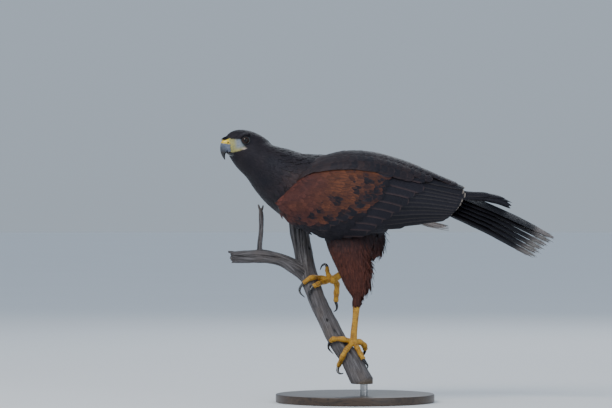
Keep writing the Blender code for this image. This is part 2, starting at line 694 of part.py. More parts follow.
def make_feet():
    """The left foot is the lower one, with three toes across the branch; the right one grips higher up."""
    s = TOE_STAND_OFF
    c = TALON_THICK + GAP
    tip = 1.2
    left_toes = (
        ([near_side(-18, 92.3, s), near_side(-31.3, 92.5, s), near_side(-36, 89.0, s)],
         [near_side(-38.5, 83.5, c + 1), near_side(-38, 77.5, c), near_side(-31.5, 70.5, tip)], TOE_THICK),
        ([near_side(-12.5, 78.5, s), near_side(-18, 68.5, s), near_side(-24.5, 53.0, s)],
         [near_side(-25.5, 46.5, c + 1), near_side(-22, 43.0, c), near_side(-17, 43.5, tip)], TOE_THICK),
        ([near_side(3.0, 79, s), near_side(7.2, 71.5, s), near_side(11.5, 63.5, s)],
         [near_side(15.0, 58.6, c + 1), near_side(17.5, 54.8, c), near_side(17.2, 51.0, tip)], TOE_THICK),
        (np.array([(6, -25, 88), (13, -17, 82.5), (14.5, -10, 76.5)]),
         [(12.8, -4.5, 70.5), (8.5, -0.8, 66), (3.5, -0.5, 63.5)], HALLUX_THICK),
    )
    make_foot("left", LEFT_PALM, LEFT_LEG, left_toes)
    right_toes = (
        ([near_side(-48.7, 179, s), near_side(-63.0, 179.8, s), near_side(-75.0, 171.5, s)],
         [near_side(-80, 164, c + 1), near_side(-79.5, 157.5, c), near_side(-72.8, 151.0, tip)], TOE_THICK),
        ([near_side(-43, 174, s), near_side(-54, 170.5, s), near_side(-61.0, 167.0, s)],
         [near_side(-66, 160, c + 1), near_side(-67.0, 152.5, c), near_side(-63.5, 144.0, tip)], TOE_THICK),
        (np.array([(-38.5, 26, 184), (-40.2, 31, 190), (-40.3, 34, 195)]),
         [(-42.8, 35.5, 199.0), (-47.6, 36.4, 197.0), (-50.5, 36.6, 190.5)], 3.3),
        (np.array([(-26.5, 24, 170), (-26.8, 26, 158), (-27.6, 26.5, 144)]),
         [(-26.0, 26.3, 138), (-26.8, 25.2, 133.0), (-31.0, 23.6, 129.6)], HALLUX_THICK),
    )
    make_foot("right", RIGHT_PALM, RIGHT_LEG, right_toes)


def thigh_form(name, rows, count, material, swell=0.0):
    """A feathered thigh: level elliptic rings, long fore and aft."""
    rows = through(rows, count)
    centre = rows[:, :3]
    across = np.tile([1.0, 0.0, 0.0], (count, 1))
    upward = np.tile([0.0, 1.0, 0.0], (count, 1))
    return loft(name, centre, across, upward, rows[:, 3] + swell, rows[:, 4] + swell, THIGH_SIDES, material)


def thigh_locks(rows, locks, side):
    """Locks set round a thigh's lower and rear surface, hanging down and a little out."""
    made = []
    table = through(rows, DENSE)
    for share, degrees, length in locks:
        x, y, z, long, wide = table[int(share * (DENSE - 1))]
        turn = math.radians(degrees)
        out = unit((math.cos(turn) / long, side * -math.sin(turn) / wide, 0))
        spot = np.array([x + long * math.cos(turn), y + side * -wide * math.sin(turn), z])
        tip = spot + out * length * LOCK_LEAN - (0, 0, length)
        made.append(lock(spot - out * LOCK_THICK * 0.6, tip, out, LOCK_WIDTH, LOCK_THICK, CHESTNUT_PLUMAGE))
    return made


def make_legs():
    """Both thighs, cut clear of the body, and the bare tarsi below them. Returns the thighs a gap larger."""
    cutters = []
    sides = (("left", LEFT_THIGH, LEFT_LOCKS, 12, 1), ("right", RIGHT_THIGH, RIGHT_LOCKS, 8, -1))
    for side, rows, locks, count, sign in sides:
        pieces = [thigh_form(f"thigh_{side}", rows, count, CHESTNUT_PLUMAGE)]
        pieces += thigh_locks(rows, locks, sign)
        fuse(f"thigh_{side}", pieces, CHESTNUT_PLUMAGE, [body_cutter], "MANIFOLD")
        cutters.append(hide_as_cutter(thigh_form(f"thigh_cutter_{side}", rows, count, CHESTNUT_PLUMAGE, GAP)))
    for side, leg, cutter in (("left", LEFT_LEG, cutters[0]), ("right", RIGHT_LEG, cutters[1])):
        name = f"tarsus_{side}"
        tarsus = limb(name, leg, LEG_ROWS, 10, YELLOW_SKIN, last=ANKLE_ROW + 1)
        fuse(name, [tarsus], YELLOW_SKIN, [cutter])
    return cutters


# Feathers: thin flat vanes that narrow at the root and round off at the tip


def tapered(thick, count):
    """Thicknesses from thick at the root to the tip's."""
    return np.linspace(thick, VANE_TIP_THICK, count)


def vane(spine, across, outward, width, depths, material):
    """A closed vane along the spine points, as deep as depths say, both faces cut into the same triangles."""
    count = len(spine)
    share = np.linspace(0, 1, count)
    half = across * (width / 2 * np.interp(share, *np.transpose(VANE_SHARES)))[:, None]
    depth = outward * depths[:, None]
    points = np.stack([spine - half, spine + half, spine + half - depth, spine - half - depth], axis=1)
    end = 4 * count - 4
    faces = [(0, 1, 2), (0, 2, 3), (end, end + 1, end + 2), (end, end + 2, end + 3)]
    for a in range(0, end, 4):
        faces += [(a, a + 1, a + 5), (a, a + 5, a + 4), (a + 3, a + 2, a + 6), (a + 3, a + 6, a + 7)]
        faces += [(a + 1, a + 2, a + 6), (a + 1, a + 6, a + 5), (a, a + 3, a + 7), (a, a + 7, a + 4)]
    return solid("vane", points.reshape(-1, 3), faces, material)


def free_vane(path, facing, width, thick, material, rows=5):
    """A vane along a smooth path, its outer face square to facing."""
    spine = evenly(path, rows)
    along = unit(np.gradient(spine, axis=0))
    across = unit(np.cross(along, np.asarray(facing, float)))
    return vane(spine, across, np.cross(across, along), width, tapered(thick, rows), material)


def lock(root, tip, outward, width, thick, material):
    """A flat tapered lock of hair-like feathers that bends outwards a little on its way to the tip."""
    root, tip, outward = (np.asarray(v, float) for v in (root, tip, outward))
    middle = (root + tip) / 2 + outward * LOCK_BEND
    spine = np.array([root, middle, tip])
    along = unit(tip - root)
    across = unit(np.cross(along, outward))
    points = []
    for spot, share in zip(spine, (1.0, 0.8, 0.12)):
        points += [spot - across * width / 2 * share, spot + outward * thick / 2 * share,
                   spot + across * width / 2 * share, spot - outward * thick / 2 * share]
    return solid("lock", points, tube_faces(3, 4), material)


# The folded wings: a curved plate over the body's side that carries the vanes in tiers


def wing_spot(x, down, out, side):
    """A point of the folded wing's face: x along it, down from 0 at its top edge to 1 at its lower edge,
    out millimetres off the face. side is -1 on the left wing and 1 on the right."""
    def place(px, q):
        table = np.asarray(WING_ROWS, float)
        top, bottom, wide = (np.interp(px, table[:, 0], table[:, k]) for k in (1, 2, 3))
        upper = math.radians(TOP_ANGLE)
        lower = math.radians(np.interp(px, *np.transpose(LOWER_ANGLES)))
        high = (top - bottom) / (math.sin(upper) - math.sin(lower))
        middle = top - high * math.sin(upper)
        angle = upper + (lower - upper) * q
        return np.array([px, side * wide * math.cos(angle) ** FLANK_SQUARE, middle + high * math.sin(angle)])
    step_x = place(x + 1, down) - place(x - 1, down)
    step_q = place(x, min(down + 0.02, 1)) - place(x, max(down - 0.02, 0))
    normal = unit(np.cross(step_x, step_q)) * side
    return place(x, down) + normal * out


def wing_down(x, z):
    """How far down the wing's face the height z lies at x, from 0 at its top edge to 1 at its lower edge."""
    table = np.asarray(WING_ROWS, float)
    top, bottom = (np.interp(x, table[:, 0], table[:, k]) for k in (1, 2))
    upper = math.radians(TOP_ANGLE)
    lower = math.radians(np.interp(x, *np.transpose(LOWER_ANGLES)))
    high = (top - bottom) / (math.sin(upper) - math.sin(lower))
    middle = top - high * math.sin(upper)
    return (upper - math.asin(np.clip((z - middle) / high, -1, 1))) / (upper - lower)


def plate_depth(x):
    """How thick the wing's plate is: thick over the arm, thin behind."""
    return float(np.interp(x, *np.transpose(PLATE_DEPTHS)))


def wing_plate(side, material):
    """The curved plate under the feathers, thickest along its middle."""
    rows = []
    for x in PLATE_XS:
        downs = np.linspace(0.0, 1.0, PLATE_DOWN)
        outer = [wing_spot(x, q, 0, side) for q in downs]
        depths = plate_depth(x) * (PLATE_EDGE + (1 - PLATE_EDGE) * np.sin(np.pi * downs))
        inner = [wing_spot(x, q, -depth, side) for q, depth in zip(downs, depths)]
        rows.append([*outer, *inner[::-1]])
    faces = tube_faces(len(PLATE_XS), 2 * PLATE_DOWN)
    return solid("plate", np.asarray(rows).reshape(-1, 3), faces, material)


def wing_vane(side, path, lift, width, thick, rows, material):
    """A vane along x, z points of the wing's face, sunk in at its root and lifted off the face at its tip.
    Over the plate it reaches down into it, and behind the plate it is thin and free."""
    flat = through([(x, z, 0) for x, z in path], rows)
    rise = np.linspace(-SINK, lift, rows)
    foot = np.array([wing_spot(x, wing_down(x, z), 0, side) for x, z, _ in flat])
    over = np.array([wing_spot(x, wing_down(x, z), 1, side) for x, z, _ in flat])
    outward = unit(over - foot)
    spine = foot + outward * rise[:, None]
    along = unit(np.gradient(spine, axis=0))
    across = unit(np.cross(along, outward))
    free = tapered(thick, rows)
    over_plate = flat[:, 0] < PLATE_XS[-1] - PLATE_BITE
    depths = np.where(over_plate, np.maximum(free, rise + PLATE_BITE), free)
    return vane(spine, across, outward, width, depths, material)


def tier_vanes(side, tier, material):
    """One tier of vanes, its roots on a line and its tips on a bent one, each lying over the next lower."""
    count, root_a, root_b, tip_a, tip_m, tip_b, lift, drop, width, thick, rows = tier
    roots = np.linspace(root_a, root_b, count)
    tips = through((tip_a, tip_m, tip_b), count)
    made = []
    for k in range(count):
        middle = roots[k] * 0.45 + tips[k] * 0.55 + (0, ARCH * math.sin(math.pi * k / count))
        path = (roots[k], middle, tips[k])
        made.append(wing_vane(side, path, lift - drop * k, width, thick, rows, material))
    return made


def make_wings(thigh_cutters):
    """Each wing is its plate, the flight feathers and their coverts in tiers, and scapulars along its top."""
    for side, name in ((-1, "wing_left"), (1, "wing_right")):
        pieces = [wing_plate(side, DARK_PLUMAGE)]
        for path, lift in PRIMARIES:
            pieces.append(wing_vane(side, path, lift, PRIMARY_WIDTH, PRIMARY_THICK, 5, DARK_PLUMAGE))
        for tier in TIERS:
            pieces += tier_vanes(side, tier, DARK_PLUMAGE)
        for x, z in SCAPULARS:
            start = (x - SCAPULAR_LENGTH, z + 4)
            path = (start, (x - 20, z + 3), (x, z))
            pieces.append(wing_vane(side, path, SCAPULAR_LIFT, SCAPULAR_WIDTH, SCAPULAR_THICK, 3,
                                    DARK_PLUMAGE))
        fuse(name, pieces, DARK_PLUMAGE, [body_cutter, *thigh_cutters], "MANIFOLD")


# The tail: twelve feathers in a low roof, the middle pair on top, from a block of coverts behind the rump


def between(ends, share):
    """The point that share of the way from the first end to the second."""
    first, last = np.asarray(ends, float)
    return first + (last - first) * share


def make_tail():
    """The covert block, six stepped feathers on each side and the pale coverts under the root."""
    block = limb("tail", [(95, 0, 300, 17), (120, 0, 291, 15), (150, 0, 276, 9)], 7, 12, TAIL_PLUMAGE)
    under = limb("under", [(98, 0, 277, 13), (114, 0, 270, 11.5), (127, 0, 262, 6)], 5, 10, TAIL_PLUMAGE)
    pieces = [block, under]
    for side in (-1, 1):
        for k in range(TAIL_PAIRS):
            share = k / (TAIL_PAIRS - 1)
            ends = (TAIL_ROOTS, TAIL_KNEES, TAIL_MIDDLES, TAIL_BENDS, TAIL_TIPS)
            facing = unit(ROOF_NORMAL) * (1, side, 1)
            path = np.array([between(pair, share) for pair in ends]) * (1, side, 1)
            path = path - facing * TAIL_STEP * (k - 3) - (0, 0, TAIL_CROSS * side)
            pieces.append(free_vane(path, facing, TAIL_WIDTH, TAIL_THICK, TAIL_PLUMAGE, 5))
    for y in UNDERTAIL:
        drop = abs(y) * 0.35
        path = ((106, y * 0.7, 268 + drop), (120, y * 0.9, 260 + drop), (134 - drop, y * 1.1, 251.5 + drop))
        pieces.append(free_vane(path, (-0.5, y * 0.02, -0.85), 13, 1.3, TAIL_PLUMAGE, 4))
    fuse("tail", pieces, TAIL_PLUMAGE, [body_cutter], "MANIFOLD")


# The perch: a cut length of dead branch with one side limb and its twig

def cut_level(made, height):
    """Moves the points of the lower end ring along the branch until they lie in one level plane."""
    axis = through(BRANCH_AXIS, BRANCH_ROWS)[:, :3]
    run = unit(axis[1] - axis[0])
    verts = made.data.vertices
    for index in range(BRANCH_SIDES):
        co = np.array(verts[index].co) / MM
        co = co + run * (height - co[2]) / run[2]
        verts[index].co = co * MM
    return made


def make_perch():
    trunk = limb("perch_branch", BRANCH_AXIS, BRANCH_ROWS, BRANCH_SIDES, DEAD_WOOD)
    cut_level(trunk, BRANCH_FOOT)
    fuse("perch_branch", [trunk], DEAD_WOOD)
    trunk_cutter = hide_as_cutter(limb("trunk_cutter", [(x, y, z, r + GAP) for x, y, z, r in BRANCH_AXIS],
                                       BRANCH_ROWS, BRANCH_SIDES, DEAD_WOOD))
    side_limb = limb("perch_limb", LIMB_PATH, 14, 12, DEAD_WOOD)
    fuse("perch_limb", [side_limb], DEAD_WOOD, [trunk_cutter])
    limb_cutter = hide_as_cutter(limb("limb_cutter", [(x, y, z, r + GAP) for x, y, z, r in LIMB_PATH], 14, 12,
                                      DEAD_WOOD))
    twig = limb("perch_twig", TWIG_PATH, 9, 8, DEAD_WOOD)
    fuse("perch_twig", [twig], DEAD_WOOD, [limb_cutter])


# The stand: a round flat base and one short rod up to the branch's level foot


def turned(name, profile, place, sides, material):
    """A form of revolution about an upright line; a profile point is radius and height."""
    turn = np.linspace(0, 2 * np.pi, sides, endpoint=False)
    points = [(place[0] + r * math.cos(t), place[1] + r * math.sin(t), z) for r, z in profile for t in turn]
    return fuse(name, [solid(name, points, tube_faces(len(profile), sides), material)], material)


def make_stand():
    e = BASE_EDGE
    turned("stand_base", ((BASE_RADIUS - e, 0), (BASE_RADIUS, e), (BASE_RADIUS, BASE_HEIGHT - e),
                          (BASE_RADIUS - e, BASE_HEIGHT)), (0, 0), BASE_SIDES, STAND_WOOD)
    turned("stand_rod", ((ROD_RADIUS, BASE_HEIGHT + GAP), (ROD_RADIUS, BRANCH_FOOT - GAP)), ROD_PLACE, 20,
           STAND_STEEL)


make_head()
make_feet()
thigh_cutters = make_legs()
make_wings(thigh_cutters)
make_tail()
make_perch()
make_stand()
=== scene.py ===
"""A harris hawk, life size, leaning forward on a cut length of dead branch that a plain stand holds up.

Lengths are in millimetres until a mesh is made. The hawk faces -X, and its left side is towards -Y.
"""

import math

import bpy
import numpy as np
from mathutils.bvhtree import BVHTree
from mathutils.kdtree import KDTree
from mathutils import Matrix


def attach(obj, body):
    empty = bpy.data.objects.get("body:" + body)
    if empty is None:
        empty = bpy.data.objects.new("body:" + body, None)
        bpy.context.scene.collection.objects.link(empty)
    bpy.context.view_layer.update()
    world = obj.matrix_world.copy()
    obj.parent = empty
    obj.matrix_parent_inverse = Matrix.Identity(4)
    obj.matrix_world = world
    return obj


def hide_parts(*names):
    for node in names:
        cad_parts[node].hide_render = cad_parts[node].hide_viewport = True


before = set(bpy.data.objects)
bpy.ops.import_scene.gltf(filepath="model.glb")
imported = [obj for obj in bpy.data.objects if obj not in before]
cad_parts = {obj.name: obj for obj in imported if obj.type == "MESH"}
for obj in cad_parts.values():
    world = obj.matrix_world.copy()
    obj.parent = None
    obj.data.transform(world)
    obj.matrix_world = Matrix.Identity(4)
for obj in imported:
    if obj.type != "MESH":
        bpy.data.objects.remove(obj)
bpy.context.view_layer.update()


# The view and the studio. The camera stands level, five metres off the hawk's left side, as far up as the
# middle of the picture. Three large soft lights and a pale floor show the hawk evenly from every side.

MM = 0.001
VIEW_PLACE = (-0.0711, -5.0, 0.287)
VIEW_LENS = 202.9
LIGHTS = (  # name, place and side in metres, power in watts, colour
    ("key_light", (-1.5, -2.0, 2.4), 1.5, 62.0, (1.0, 0.97, 0.93)),
    ("fill_light", (2.2, -2.6, 1.1), 2.0, 24.0, (0.90, 0.95, 1.0)),
    ("back_light", (0.6, 2.6, 2.2), 1.6, 22.0, (0.95, 0.98, 1.0)),
)
LIT_SPOTS = ((0, 0, 0.3), (0, 0, 0.25), (0, 0, 0.3))
GLOW = 0.72
LEVEL_GLOW = (0.53, 0.62, 0.72)
UPPER_GLOW = (0.63, 0.76, 0.92)
FLOOR_REACH = 30000.0
FLOOR_DEPTH = 20.0
FLOOR_SIDES = 96

camera = bpy.data.objects.new("camera", bpy.data.cameras.new("camera"))
camera.data.lens = VIEW_LENS
camera.data.sensor_width = 36.0
camera.data.clip_end = 100.0
camera.location = VIEW_PLACE
camera.rotation_euler = (math.radians(90), 0, 0)
bpy.context.scene.collection.objects.link(camera)
bpy.context.scene.camera = camera


def soft_light(name, place, size, power, colour, aim):
    """A square area light turned to face aim: tilt and turn are the angles of the line from aim to place."""
    light = bpy.data.lights.new(name, "AREA")
    light.size = size
    light.energy = power
    light.color = colour
    made = bpy.data.objects.new(name, light)
    made.location = place
    away = np.asarray(place, float) - np.asarray(aim, float)
    tilt = math.acos(away[2] / np.linalg.norm(away))
    made.rotation_euler = (tilt, 0, math.atan2(away[1], away[0]) + math.pi / 2)
    bpy.context.scene.collection.objects.link(made)


for light, aim in zip(LIGHTS, LIT_SPOTS):
    soft_light(*light, aim)

world = bpy.data.worlds.new("studio")
bpy.context.scene.world = world
world.use_nodes = True


def node(tree, kind, inputs, **settings):
    """A shader node with its settings and inputs. An input is a value, or another node's output to link."""
    made = tree.nodes.new(kind)
    for key, value in settings.items():
        setattr(made, key, value)
    for key, value in inputs.items():
        if isinstance(value, bpy.types.NodeSocket):
            tree.links.new(value, made.inputs[key])
        else:
            made.inputs[key].default_value = value
    return made


def ramp(tree, share, stops):
    """The colour output of a ramp; each stop is its place and its colour or grey."""
    made = tree.nodes.new("ShaderNodeValToRGB")
    tree.links.new(share, made.inputs["Fac"])
    points = made.color_ramp.elements
    while len(points) < len(stops):
        points.new(0.5)
    for point, (place, colour) in zip(points, stops):
        point.position = place
        point.color = (colour,) * 3 + (1.0,) if isinstance(colour, (int, float)) else (*colour, 1.0)
    return made.outputs["Color"]


def finish(name, roughness, **sockets):
    """A Principled material, its tree and its shader. sockets are set on the shader itself."""
    material = bpy.data.materials.new(name)
    material.use_nodes = True
    tree = material.node_tree
    shader = tree.nodes["Principled BSDF"]
    shader.inputs["Roughness"].default_value = roughness
    for key, value in sockets.items():
        shader.inputs[key.replace("_", " ")].default_value = value
    return material, tree, shader


def noise(tree, place, scale, detail=3.0, bend=0.0):
    """The value output of a noise texture."""
    values = {"Vector": place, "Scale": scale, "Detail": detail, "Distortion": bend}
    return node(tree, "ShaderNodeTexNoise", values).outputs["Fac"]


def stretched(tree, place, scale):
    """Coordinates multiplied by scale, to draw a pattern out along one of them."""
    return node(tree, "ShaderNodeMapping", {"Vector": place, "Scale": scale}).outputs["Vector"]


def paint(tree, shader, value, socket="Base Color"):
    """Links a colour or value to the shader."""
    tree.links.new(value, shader.inputs[socket])


def bump(tree, shader, height, distance, strength=1.0):
    """Raises the shader's normal by the height, in metres."""
    made = node(tree, "ShaderNodeBump", {"Height": height, "Distance": distance, "Strength": strength})
    paint(tree, shader, made.outputs["Normal"], "Normal")


def blend(tree, share, first, second, kind="MIX"):
    """The first colour turned into the second by share."""
    made = node(tree, "ShaderNodeMix", {}, data_type="RGBA", blend_type=kind)
    for socket, value in ((made.inputs[0], share), (made.inputs[6], first), (made.inputs[7], second)):
        if isinstance(value, bpy.types.NodeSocket):
            tree.links.new(value, socket)
        else:
            socket.default_value = value if isinstance(value, float) else (*value, 1.0)
    return made.outputs[2]


def maths(tree, operation, first, second=0.0, third=0.0):
    """The value output of a maths node."""
    made = node(tree, "ShaderNodeMath", {}, operation=operation)
    for socket, value in zip(made.inputs, (first, second, third)):
        if isinstance(value, bpy.types.NodeSocket):
            tree.links.new(value, socket)
        else:
            socket.default_value = value
    return made.outputs[0]


def spot_of(tree):
    """Object coordinates."""
    return tree.nodes.new("ShaderNodeTexCoord").outputs["Object"]


def read(tree, name, output="Vector"):
    """An attribute of the mesh."""
    return node(tree, "ShaderNodeAttribute", {}, attribute_name=name).outputs[output]


def shape(name, points, faces, material, sharp=50.0):
    """A smooth-shaded mesh object, from points in millimetres and arrays of faces with like corner counts."""
    points = np.asarray(points, float).reshape(-1, 3) * MM
    groups = [np.asarray(group, np.int32) for group in (faces if isinstance(faces, list) else [faces])]
    groups = [group for group in groups if len(group)]
    corners = np.concatenate([group.ravel() for group in groups])
    sizes = np.concatenate([np.full(len(group), group.shape[1]) for group in groups])
    mesh = bpy.data.meshes.new(name)
    mesh.vertices.add(len(points))
    mesh.vertices.foreach_set("co", points.ravel())
    mesh.loops.add(len(corners))
    mesh.loops.foreach_set("vertex_index", corners)
    mesh.polygons.add(len(sizes))
    mesh.polygons.foreach_set("loop_start", np.concatenate([[0], np.cumsum(sizes)[:-1]]).astype(np.int32))
    mesh.update(calc_edges=True)
    mesh.shade_smooth()
    mesh.set_sharp_from_angle(angle=math.radians(sharp))
    mesh.materials.append(material)
    made = bpy.data.objects.new(name, mesh)
    bpy.context.scene.collection.objects.link(made)
    return made


def place_piece(piece, slot, *nodes):
    """The piece rides on the model's one body and stands for those nodes. slot is not used."""
    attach(piece, "root")
    if nodes:
        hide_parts(*nodes)
    return piece


def tube_faces(rings, sides):
    """Quads between closed rings, and a cap on each end."""
    ring, side = np.meshgrid(np.arange(rings - 1), np.arange(sides), indexing="ij")
    a = ring * sides + side
    b = ring * sides + (side + 1) % sides
    quads = np.stack([a, b, b + sides, a + sides], axis=-1).reshape(-1, 4)
    caps = np.array([np.arange(sides)[::-1], (rings - 1) * sides + np.arange(sides)])
    return [quads, caps]


def turned(name, profile, place, sides, material, sharp=50.0):
    """A profile of radius and height swung round an upright line at place."""
    turn = np.linspace(0, 2 * np.pi, sides, endpoint=False)
    radius, height = np.transpose(profile)
    points = np.stack([place[0] + radius[:, None] * np.cos(turn), place[1] + radius[:, None] * np.sin(turn),
                       np.broadcast_to(height[:, None], (len(radius), sides))], axis=-1)
    return shape(name, points, tube_faces(len(radius), sides), material, sharp)


tree = world.node_tree
seen_from = tree.nodes.new("ShaderNodeTexCoord")
rise = node(tree, "ShaderNodeSeparateXYZ", {"Vector": seen_from.outputs["Generated"]})
glow = ramp(tree, rise.outputs["Z"], ((0.0, LEVEL_GLOW), (0.30, UPPER_GLOW)))
tree.links.new(glow, tree.nodes["Background"].inputs["Color"])
tree.nodes["Background"].inputs["Strength"].default_value = GLOW

floor_finish, tree, shader = finish("pale_floor", 0.9)
shade = noise(tree, spot_of(tree), 1.5)
paint(tree, shader, ramp(tree, shade, ((0.0, 0.81), (1.0, 0.84))))
floor_rim = [(FLOOR_REACH, -FLOOR_DEPTH), (FLOOR_REACH, 0.0), (1.0, 0.0)]
floor = turned("floor", floor_rim, (0, 0), FLOOR_SIDES, floor_finish)


# The stand: a round base turned from dark hardwood with an eased edge, waxed, and one short brushed steel rod
# that is let into it and into the foot of the branch.

BASE_RADIUS = 115.0
BASE_HEIGHT = 12.0
BASE_EASE = 1.6
ROD_PLACE = (12.0, -51.0)
ROD_RADIUS = 5.5
ROD_CLEAR = 0.3
BRANCH_FOOT = 29.0


def rounded_edge(radius, height, ease, steps=6):
    """A profile with both edges rounded by quarter circles of radius ease, and two more rings on its top."""
    bend = np.linspace(0, np.pi / 2, steps)
    low = np.stack([radius - ease + ease * np.sin(bend), ease - ease * np.cos(bend)], axis=1)
    high = np.stack([radius - ease + ease * np.cos(bend), height - ease + ease * np.sin(bend)], axis=1)
    return np.concatenate([low, high, [(radius * 0.6, height), (radius * 0.1, height)]])


stand_wood, tree, shader = finish("waxed_dark_wood", 0.42, Coat_Weight=0.25, Coat_Roughness=0.3)
grain = stretched(tree, spot_of(tree), (3.0, 42.0, 42.0))
figure = noise(tree, grain, 2.2, 6.0, 1.2)
pores = noise(tree, stretched(tree, spot_of(tree), (22.0, 700.0, 700.0)), 1.0, 2.0)
stain = ((0.25, (0.020, 0.012, 0.008)), (0.5, (0.055, 0.032, 0.019)), (0.72, (0.085, 0.052, 0.032)))
wood = ramp(tree, figure, stain)
wood = blend(tree, maths(tree, "GREATER_THAN", pores, 0.62), wood, (0.016, 0.009, 0.006))
paint(tree, shader, wood)
paint(tree, shader, ramp(tree, figure, ((0.2, 0.36), (0.8, 0.5))), "Roughness")
bump(tree, shader, pores, 0.0004, 0.25)
place_piece(turned("base_turned", rounded_edge(BASE_RADIUS, BASE_HEIGHT, BASE_EASE), (0, 0), 144, stand_wood),
            "stand_wood", "stand_base")

steel, tree, shader = finish("brushed_steel", 0.3, Metallic=1.0)
brushed = noise(tree, stretched(tree, spot_of(tree), (40.0, 40.0, 2500.0)), 1.0, 2.0)
paint(tree, shader, ramp(tree, brushed, ((0.3, 0.36), (0.7, 0.52))))
paint(tree, shader, ramp(tree, brushed, ((0.3, 0.24), (0.7, 0.38))), "Roughness")
bump(tree, shader, brushed, 0.0001, 0.3)
rod = np.linspace((ROD_RADIUS, BASE_HEIGHT + ROD_CLEAR), (ROD_RADIUS, BRANCH_FOOT - ROD_CLEAR), 12)
place_piece(turned("rod_turned", rod, ROD_PLACE, 48, steel), "stand_steel", "stand_rod")


# The perch: a cut length of dead wood, bare of bark and weathered grey, split by long drying cracks, with
# one broken side limb and a forked twig. All three are one piece of wood, so they are melted together.

BRANCH_AXIS = (  # x, y, z, radius
    (12, -51, 29, 15.5),
    (6, -45.5, 39, 15.5),
    (-4.5, -34.2, 59.5, 14.6),
    (-24.7, -18, 88.5, 13.4),
    (-40.6, -1.2, 119, 13.0),
    (-55, 15, 148, 13.0),
    (-64, 28.7, 172.6, 13.0),
    (-72.5, 45.5, 203, 13.3),
    (-79, 63, 234, 13.5),
    (-84, 81, 266, 13.5),
)
LIMB_PATH = (
    (-66, 34, 180, 12.5),
    (-84, 37, 193, 11),
    (-105, 35, 204, 9.6),
    (-130, 32, 210, 9.6),
    (-156, 28, 210, 9.8),
    (-178, 25, 209, 8.6),
)
TWIG_PATH = (
    (-138, 31, 205, 6.5),
    (-138.5, 31, 216, 4.3),
    (-138.5, 31, 228, 3.7),
    (-136.5, 32, 250, 3.4),
    (-136.5, 32.5, 270, 3.5),
    (-137.5, 33, 280, 2.6),
)
PRONG_PATHS = (
    ((-137.2, 33, 276, 2.4), (-139.5, 33, 282, 1.8), (-140.6, 33.4, 286.5, 1.3)),
    ((-137.2, 33, 276, 2.4), (-134.6, 33, 281, 1.8), (-133.6, 32.8, 285.5, 1.3)),
)
SPLINTER_PATH = ((-172, 25, 214.5, 3.0), (-179, 24.5, 216.5, 2.2), (-184.5, 24, 217.6, 1.2))
WOOD_VOXEL = 0.95
GRAIN_TWIST = 0.006
BRANCH_STEPS, LIMB_STEPS, TWIG_STEPS = 500, 260, 160
GRAIN_STARTS = (0.0, 400.0, 700.0)  # where the grain's run starts on branch, limb and twig
TWIG_ROUGHNESS = 0.4
KNOTS = (  # distance along the trunk, degrees round it, radius
    (52, 250, 3.6), (110, 215, 3.0), (128, 300, 2.6), (168, 240, 2.8), (232, 200, 3.4), (92, 40, 3.4),
)


def through(stations, count):
    """Rows spread evenly along a Catmull-Rom curve through the stations, whose columns are any sizes."""
    rows = np.asarray(stations, float)
    padded = np.vstack([2 * rows[0] - rows[1], rows, 2 * rows[-1] - rows[-2]])
    place = np.linspace(0, len(rows) - 1, count)
    left = np.minimum(place.astype(int), len(rows) - 2)
    t = (place - left)[:, None]
    a, b, c, d = (padded[left + k] for k in range(4))
    return b + 0.5 * t * (c - a + t * (2 * a - 5 * b + 4 * c - d + t * (3 * (b - c) + d - a)))


def evenly(stations, count):
    """Rows at even distances along the same curve. The first three columns are its points."""
    dense = through(stations, 240)
    run = np.concatenate([[0], np.cumsum(np.linalg.norm(np.diff(dense[:, :3], axis=0), axis=1))])
    wanted = np.linspace(0, run[-1], count)
    return np.stack([np.interp(wanted, run, column) for column in dense.T], axis=1)


def unit(vectors):
    """Each vector divided by its length."""
    vectors = np.asarray(vectors, float)
    return vectors / np.maximum(np.linalg.norm(vectors, axis=-1, keepdims=True), 1e-9)


def carried(along, hint):
    """Unit vectors square to a curve's directions, each the one before turned as little as it can be."""
    across = [np.asarray(hint, float)]
    for direction in along:
        last = across[-1]
        across.append(unit(last - direction * (direction @ last)))
    return np.array(across[1:])


def rings(centre, across, upward, wide, high, sides, square=1.0):
    """Points of elliptic rings: centre plus across and upward times cosine and sine of an even turn."""
    turn = np.linspace(0, 2 * np.pi, sides, endpoint=False)
    flat = np.sign(np.cos(turn)) * np.abs(np.cos(turn)) ** square
    tall = np.sign(np.sin(turn)) * np.abs(np.sin(turn)) ** square
    return (centre[:, None] + across[:, None] * (wide[:, None] * flat)[..., None]
            + upward[:, None] * (high[:, None] * tall)[..., None])


def limb_rings(stations, count, sides, hint=(0, 1, 0)):
    """Round rings along a smooth curve whose stations are x, y, z and radius."""
    rows = evenly(stations, count)
    along = unit(np.gradient(rows[:, :3], axis=0))
    across = carried(along, hint)
    return rings(rows[:, :3], across, np.cross(along, across), rows[:, 3], rows[:, 3], sides)


def joined(name, forms, material):
    """One object from several closed sets of rings."""
    points, quads, caps, start = [], [], {}, 0
    for form in forms:
        made_quads, made_caps = tube_faces(form.shape[0], form.shape[1])
        points.append(form.reshape(-1, 3))
        quads.append(made_quads + start)
        caps.setdefault(form.shape[1], []).append(made_caps + start)
        start += form.shape[0] * form.shape[1]
    faces = [np.concatenate(quads)] + [np.concatenate(group) for group in caps.values()]
    return shape(name, np.concatenate(points), faces, material)


def melted(name, forms, material, voxel, rounds):
    """Melts closed, overlapping forms into one even skin of quads and smooths it."""
    made = joined(name, forms, material)
    melt = made.modifiers.new("melt", "REMESH")
    melt.mode = "VOXEL"
    melt.voxel_size = voxel * MM
    melt.use_smooth_shade = True
    soften = made.modifiers.new("soften", "SMOOTH")
    soften.factor = 0.5
    soften.iterations = rounds
    mesh = bpy.data.meshes.new_from_object(made.evaluated_get(bpy.context.evaluated_depsgraph_get()))
    made.modifiers.clear()
    mesh.materials.clear()
    mesh.materials.append(material)
    made.data = mesh
    return made


